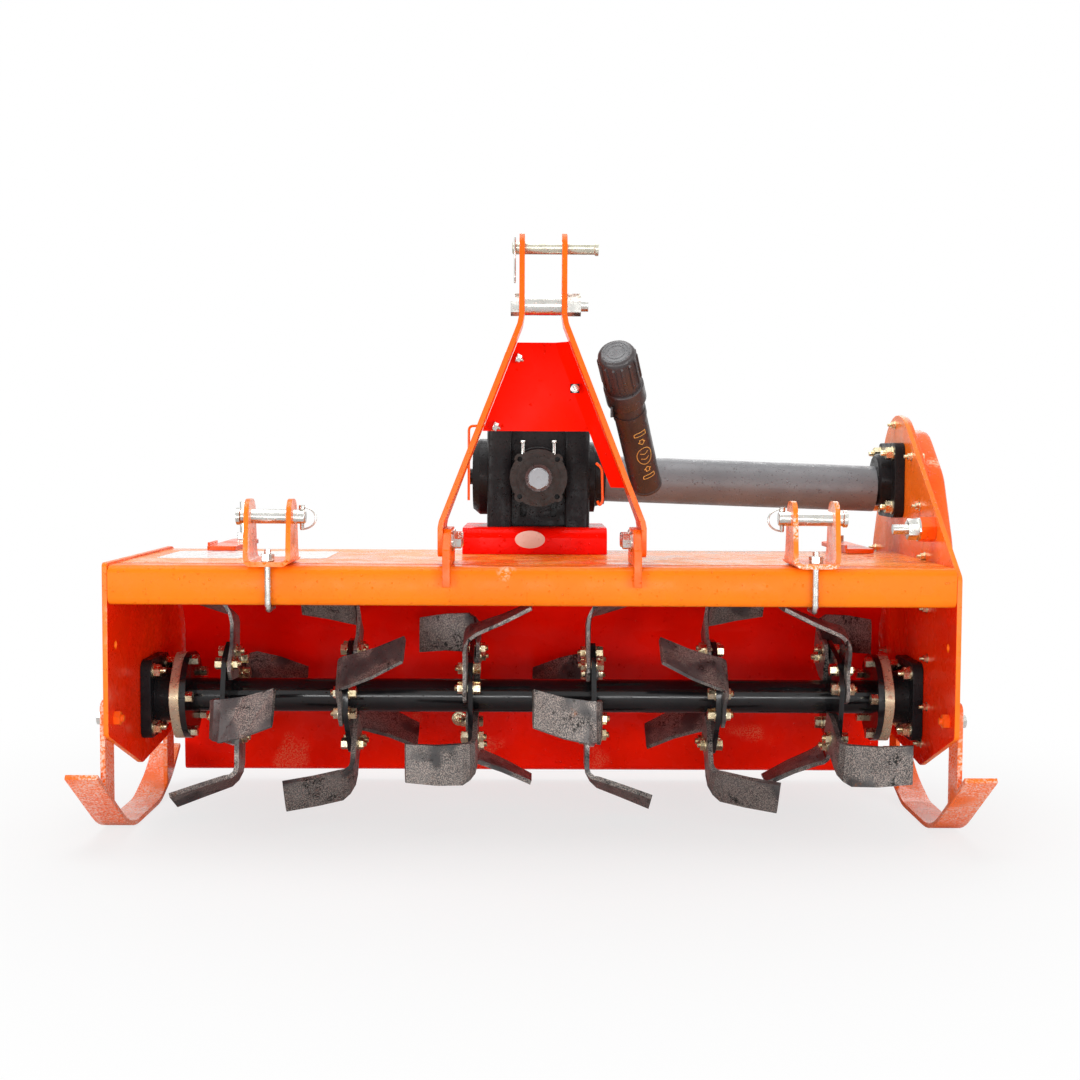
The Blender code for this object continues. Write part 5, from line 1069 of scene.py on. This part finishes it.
# Rotor: a gloss black tube with a round flange at each end.
# Yellow zinc bolts hold the flanges to lobed hub rings in a duller gold zinc.
rotor_paint = wet_finish(
    "rotor_paint", (0.005, 0.005, 0.006), (0.009, 0.009, 0.010), (0.10, 0.22), (260.0, 0.10),
    stains_and_sheen=(((0.03, 0.025, 0.022), 0.22, 10.0, 200.0),), scale=10.0, specular=0.45)
END_BOLT_CIRCLE = 0.062
END_FLANGE = 0.010
flange_in = rotor_high[0] - END_FLANGE


def near_end_bolt(face):
    """True for the hexagons on the end flanges."""
    for corner in face.verts:
        distance = hypot(corner.co.y - rotor_y, corner.co.z - rotor_z)
        if abs(distance - END_BOLT_CIRCLE) > 0.0096:
            return False
    return len(face.verts) <= 6 and abs(face.calc_center_median().x) < flange_in - 0.0003


dressed("rotor_tube", rotor_paint, 0.0008, 2, others=((yellow_zinc, near_end_bolt),))
hub_gold = wet_finish(
    "hub_gold", (0.70, 0.58, 0.38), (0.58, 0.58, 0.44), (0.24, 0.42), (300.0, 0.15),
    stains_and_sheen=(((0.52, 0.30, 0.20), 0.42, 22.0, 60.0),), metallic=0.7, scale=30.0)
for name in ("left_rotor_hub", "right_rotor_hub"):
    dressed(name, hub_gold, 0.0008)

# Tines: forged blades, four to a flange, each held by two bolts. Work has worn the blades' paint to
# dark oxide with rust and dried soil, while the flanges are still black.
FLANGE_HALF = 0.004
TINE_THICK = 0.008
TINE_BOLT_CIRCLE = 0.081
TINE_FIRST = radians(-3.0)
TINE_STEP = radians(-30.0)
TINE_BOLT_LEADS = (radians(21.0), radians(45.5))
BOLT_HEAD = 0.012
BOLT_NUT = 0.009
BOLT_AREA = 0.0102           # round a bolt's axis
NUT_WASHER = ((0.0, 0.0118), (0.0017, 0.0118), (0.002, 0.0112))
HEAD_WASHER = ((0.0, 0.0112), (0.0012, 0.0112), (0.0015, 0.0108))
blade_steel = wet_finish(
    "blade_steel", (0.066, 0.064, 0.064), (0.120, 0.116, 0.114), (0.34, 0.52), (300.0, 0.30),
    stains_and_sheen=(((0.36, 0.31, 0.275), 0.85, 14.0, 620.0), ((0.010, 0.010, 0.009), 0.40, 34.0, 260.0),
           ((0.28, 0.10, 0.035), 0.10, 26.0, 240.0)),
    metallic=0.45, scale=24.0, specular=0.5, grain=0.00012)
work = bmesh.new()
for index in range(6):
    name = "tine_set_%d" % (index + 1)
    low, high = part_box(name)
    flange_x = (low[0] + high[0]) / 2.0
    first = 1.0 if index < 3 else -1.0
    phase = TINE_FIRST + TINE_STEP * (index % 3)
    bolts = []
    for quarter in range(4):
        for lead in TINE_BOLT_LEADS:
            spoke = phase + quarter * pi / 2.0 + lead
            bolts.append((rotor_y + TINE_BOLT_CIRCLE * cos(spoke), rotor_z + TINE_BOLT_CIRCLE * sin(spoke),
                          first * (-1.0) ** quarter))

    def on_bolt(face, bolts=bolts):
        for y, z, side in bolts:
            if all(hypot(corner.co.y - y, corner.co.z - z) < BOLT_AREA for corner in face.verts):
                return True
        return False

    def on_flange(face, flange_x=flange_x):
        return all(abs(corner.co.x - flange_x) < FLANGE_HALF + 0.0001 for corner in face.verts)

    dressed(name, blade_steel, 0.0008, 2, others=((rotor_paint, on_flange), (yellow_zinc, on_bolt)))
    for y, z, side in bolts:
        nut_face = flange_x - side * (FLANGE_HALF + TINE_THICK)
        head_face = flange_x + side * FLANGE_HALF
        add_turned(work, (nut_face, y, z), (-side, 0.0, 0.0), NUT_WASHER)
        add_turned(work, (head_face, y, z), (side, 0.0, 0.0), HEAD_WASHER)
        add_thread(work, (nut_face - side * (BOLT_NUT - 0.0002), y, z), (-side, 0.0, 0.0), 0.0052, 0.004)
        add_turned(work, (head_face + side * (BOLT_HEAD - 0.0002), y, z), (side, 0.0, 0.0), (
            (0.0, 0.0078), (0.0008, 0.0072)))
new_piece("tine_bolts", work, yellow_zinc, "rotor")

# Push rods: zinc rods from the tail board up through slotted arms on the deck.
# A black coil spring on each presses the board down, and shortens as the board rises.
SPRING_TURNS = 11
SPRING_WIRE = 0.0022         # radius
SPRING_END = 0.0025          # room at each end
for name in ("left_rod_bracket", "right_rod_bracket"):
    dressed(name, cover_paint, 0.0012, 3)
spring_black = wet_finish(
    "spring_black", (0.014, 0.014, 0.015), (0.026, 0.024, 0.024), (0.22, 0.40), (260.0, 0.15),
    scale=40.0, specular=0.6)
for name in ("left", "right"):
    dressed(name + "_rod", zinc, 0.0006)
    low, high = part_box(name + "_spring")
    points = [vertex.co for vertex in nodes[name + "_spring"].data.vertices]
    feet = [point for point in points if point.z < (low[2] + high[2]) / 2.0]
    tops = [point for point in points if point.z >= (low[2] + high[2]) / 2.0]
    foot = sum(feet, Vector()) / len(feet)
    top = sum(tops, Vector()) / len(tops)
    along = (top - foot).normalized()
    across = Vector((1.0, 0.0, 0.0))
    over = along.cross(across)
    coil = (high[0] - low[0]) / 2.0 - 0.0024
    helix = []
    steps = SPRING_TURNS * 20
    for step in range(steps + 1):
        share = step / steps
        rise = share * share * (3.0 - 2.0 * share) * 0.35 + share * 0.65
        spoke = 2.0 * pi * SPRING_TURNS * share
        helix.append(foot + along * (SPRING_END + rise * ((top - foot).length - 2.0 * SPRING_END))
                     + (across * cos(spoke) + over * sin(spoke)) * coil)
    work = bmesh.new()
    add_wire(work, helix, SPRING_WIRE, 8)
    made = new_piece(name + "_coil_spring", work, spring_black, body_of(name + "_spring"))
    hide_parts(name + "_spring")
    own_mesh(made)

# Bolt through the tail board, in yellow zinc, with a washer and a hexagon on each face.
# Its thread end points to the front.
BOARD_BOLT = (-0.1366, 0.119)
BOARD_FACES = (0.5325, 0.5385)       # front and rear, back from the beam's face
BOARD_HEX = 0.017
work = bmesh.new()
for back, way, thread in ((BOARD_FACES[0], -1.0, 0.004), (BOARD_FACES[1], 1.0, 0.0)):
    add_fastener(work, (BOARD_BOLT[0], front + back, BOARD_BOLT[1]), (0.0, way, 0.0), BOARD_HEX, 0.009,
                 thread, 1.2)
new_piece("board_bolt", work, yellow_zinc, "tail")

# Blank white paper label stuck on the deck's left, with rounded corners.
# Rain stands on it in wide beads.
LABEL_LEFT = (-0.610, -0.335)
LABEL_DEPTH = (0.165, 0.345)     # back from the beam's face
LABEL_CORNER = 0.012
paper = wet_finish(
    "white_label", (0.86, 0.85, 0.83), (0.78, 0.77, 0.76), (0.2, 0.4), (100.0, 0.35), specular=0.5)
work = bmesh.new()
outline = []
for x, y, start in ((LABEL_LEFT[1], LABEL_DEPTH[1], 0.0), (LABEL_LEFT[0], LABEL_DEPTH[1], 90.0),
                    (LABEL_LEFT[0], LABEL_DEPTH[0], 180.0), (LABEL_LEFT[1], LABEL_DEPTH[0], 270.0)):
    for step in range(5):
        spoke = radians(start + 22.5 * step)
        middle_x = x - LABEL_CORNER * (1.0 if x == LABEL_LEFT[1] else -1.0)
        middle_y = y - LABEL_CORNER * (1.0 if y == LABEL_DEPTH[1] else -1.0)
        outline.append((middle_x + LABEL_CORNER * cos(spoke), front + middle_y + LABEL_CORNER * sin(spoke)))
add_loft(work, [[(x, y, beam_top + rise) for x, y in outline] for rise in (-0.0001, 0.0003)])
new_piece("deck_label", work, paper, "machine")
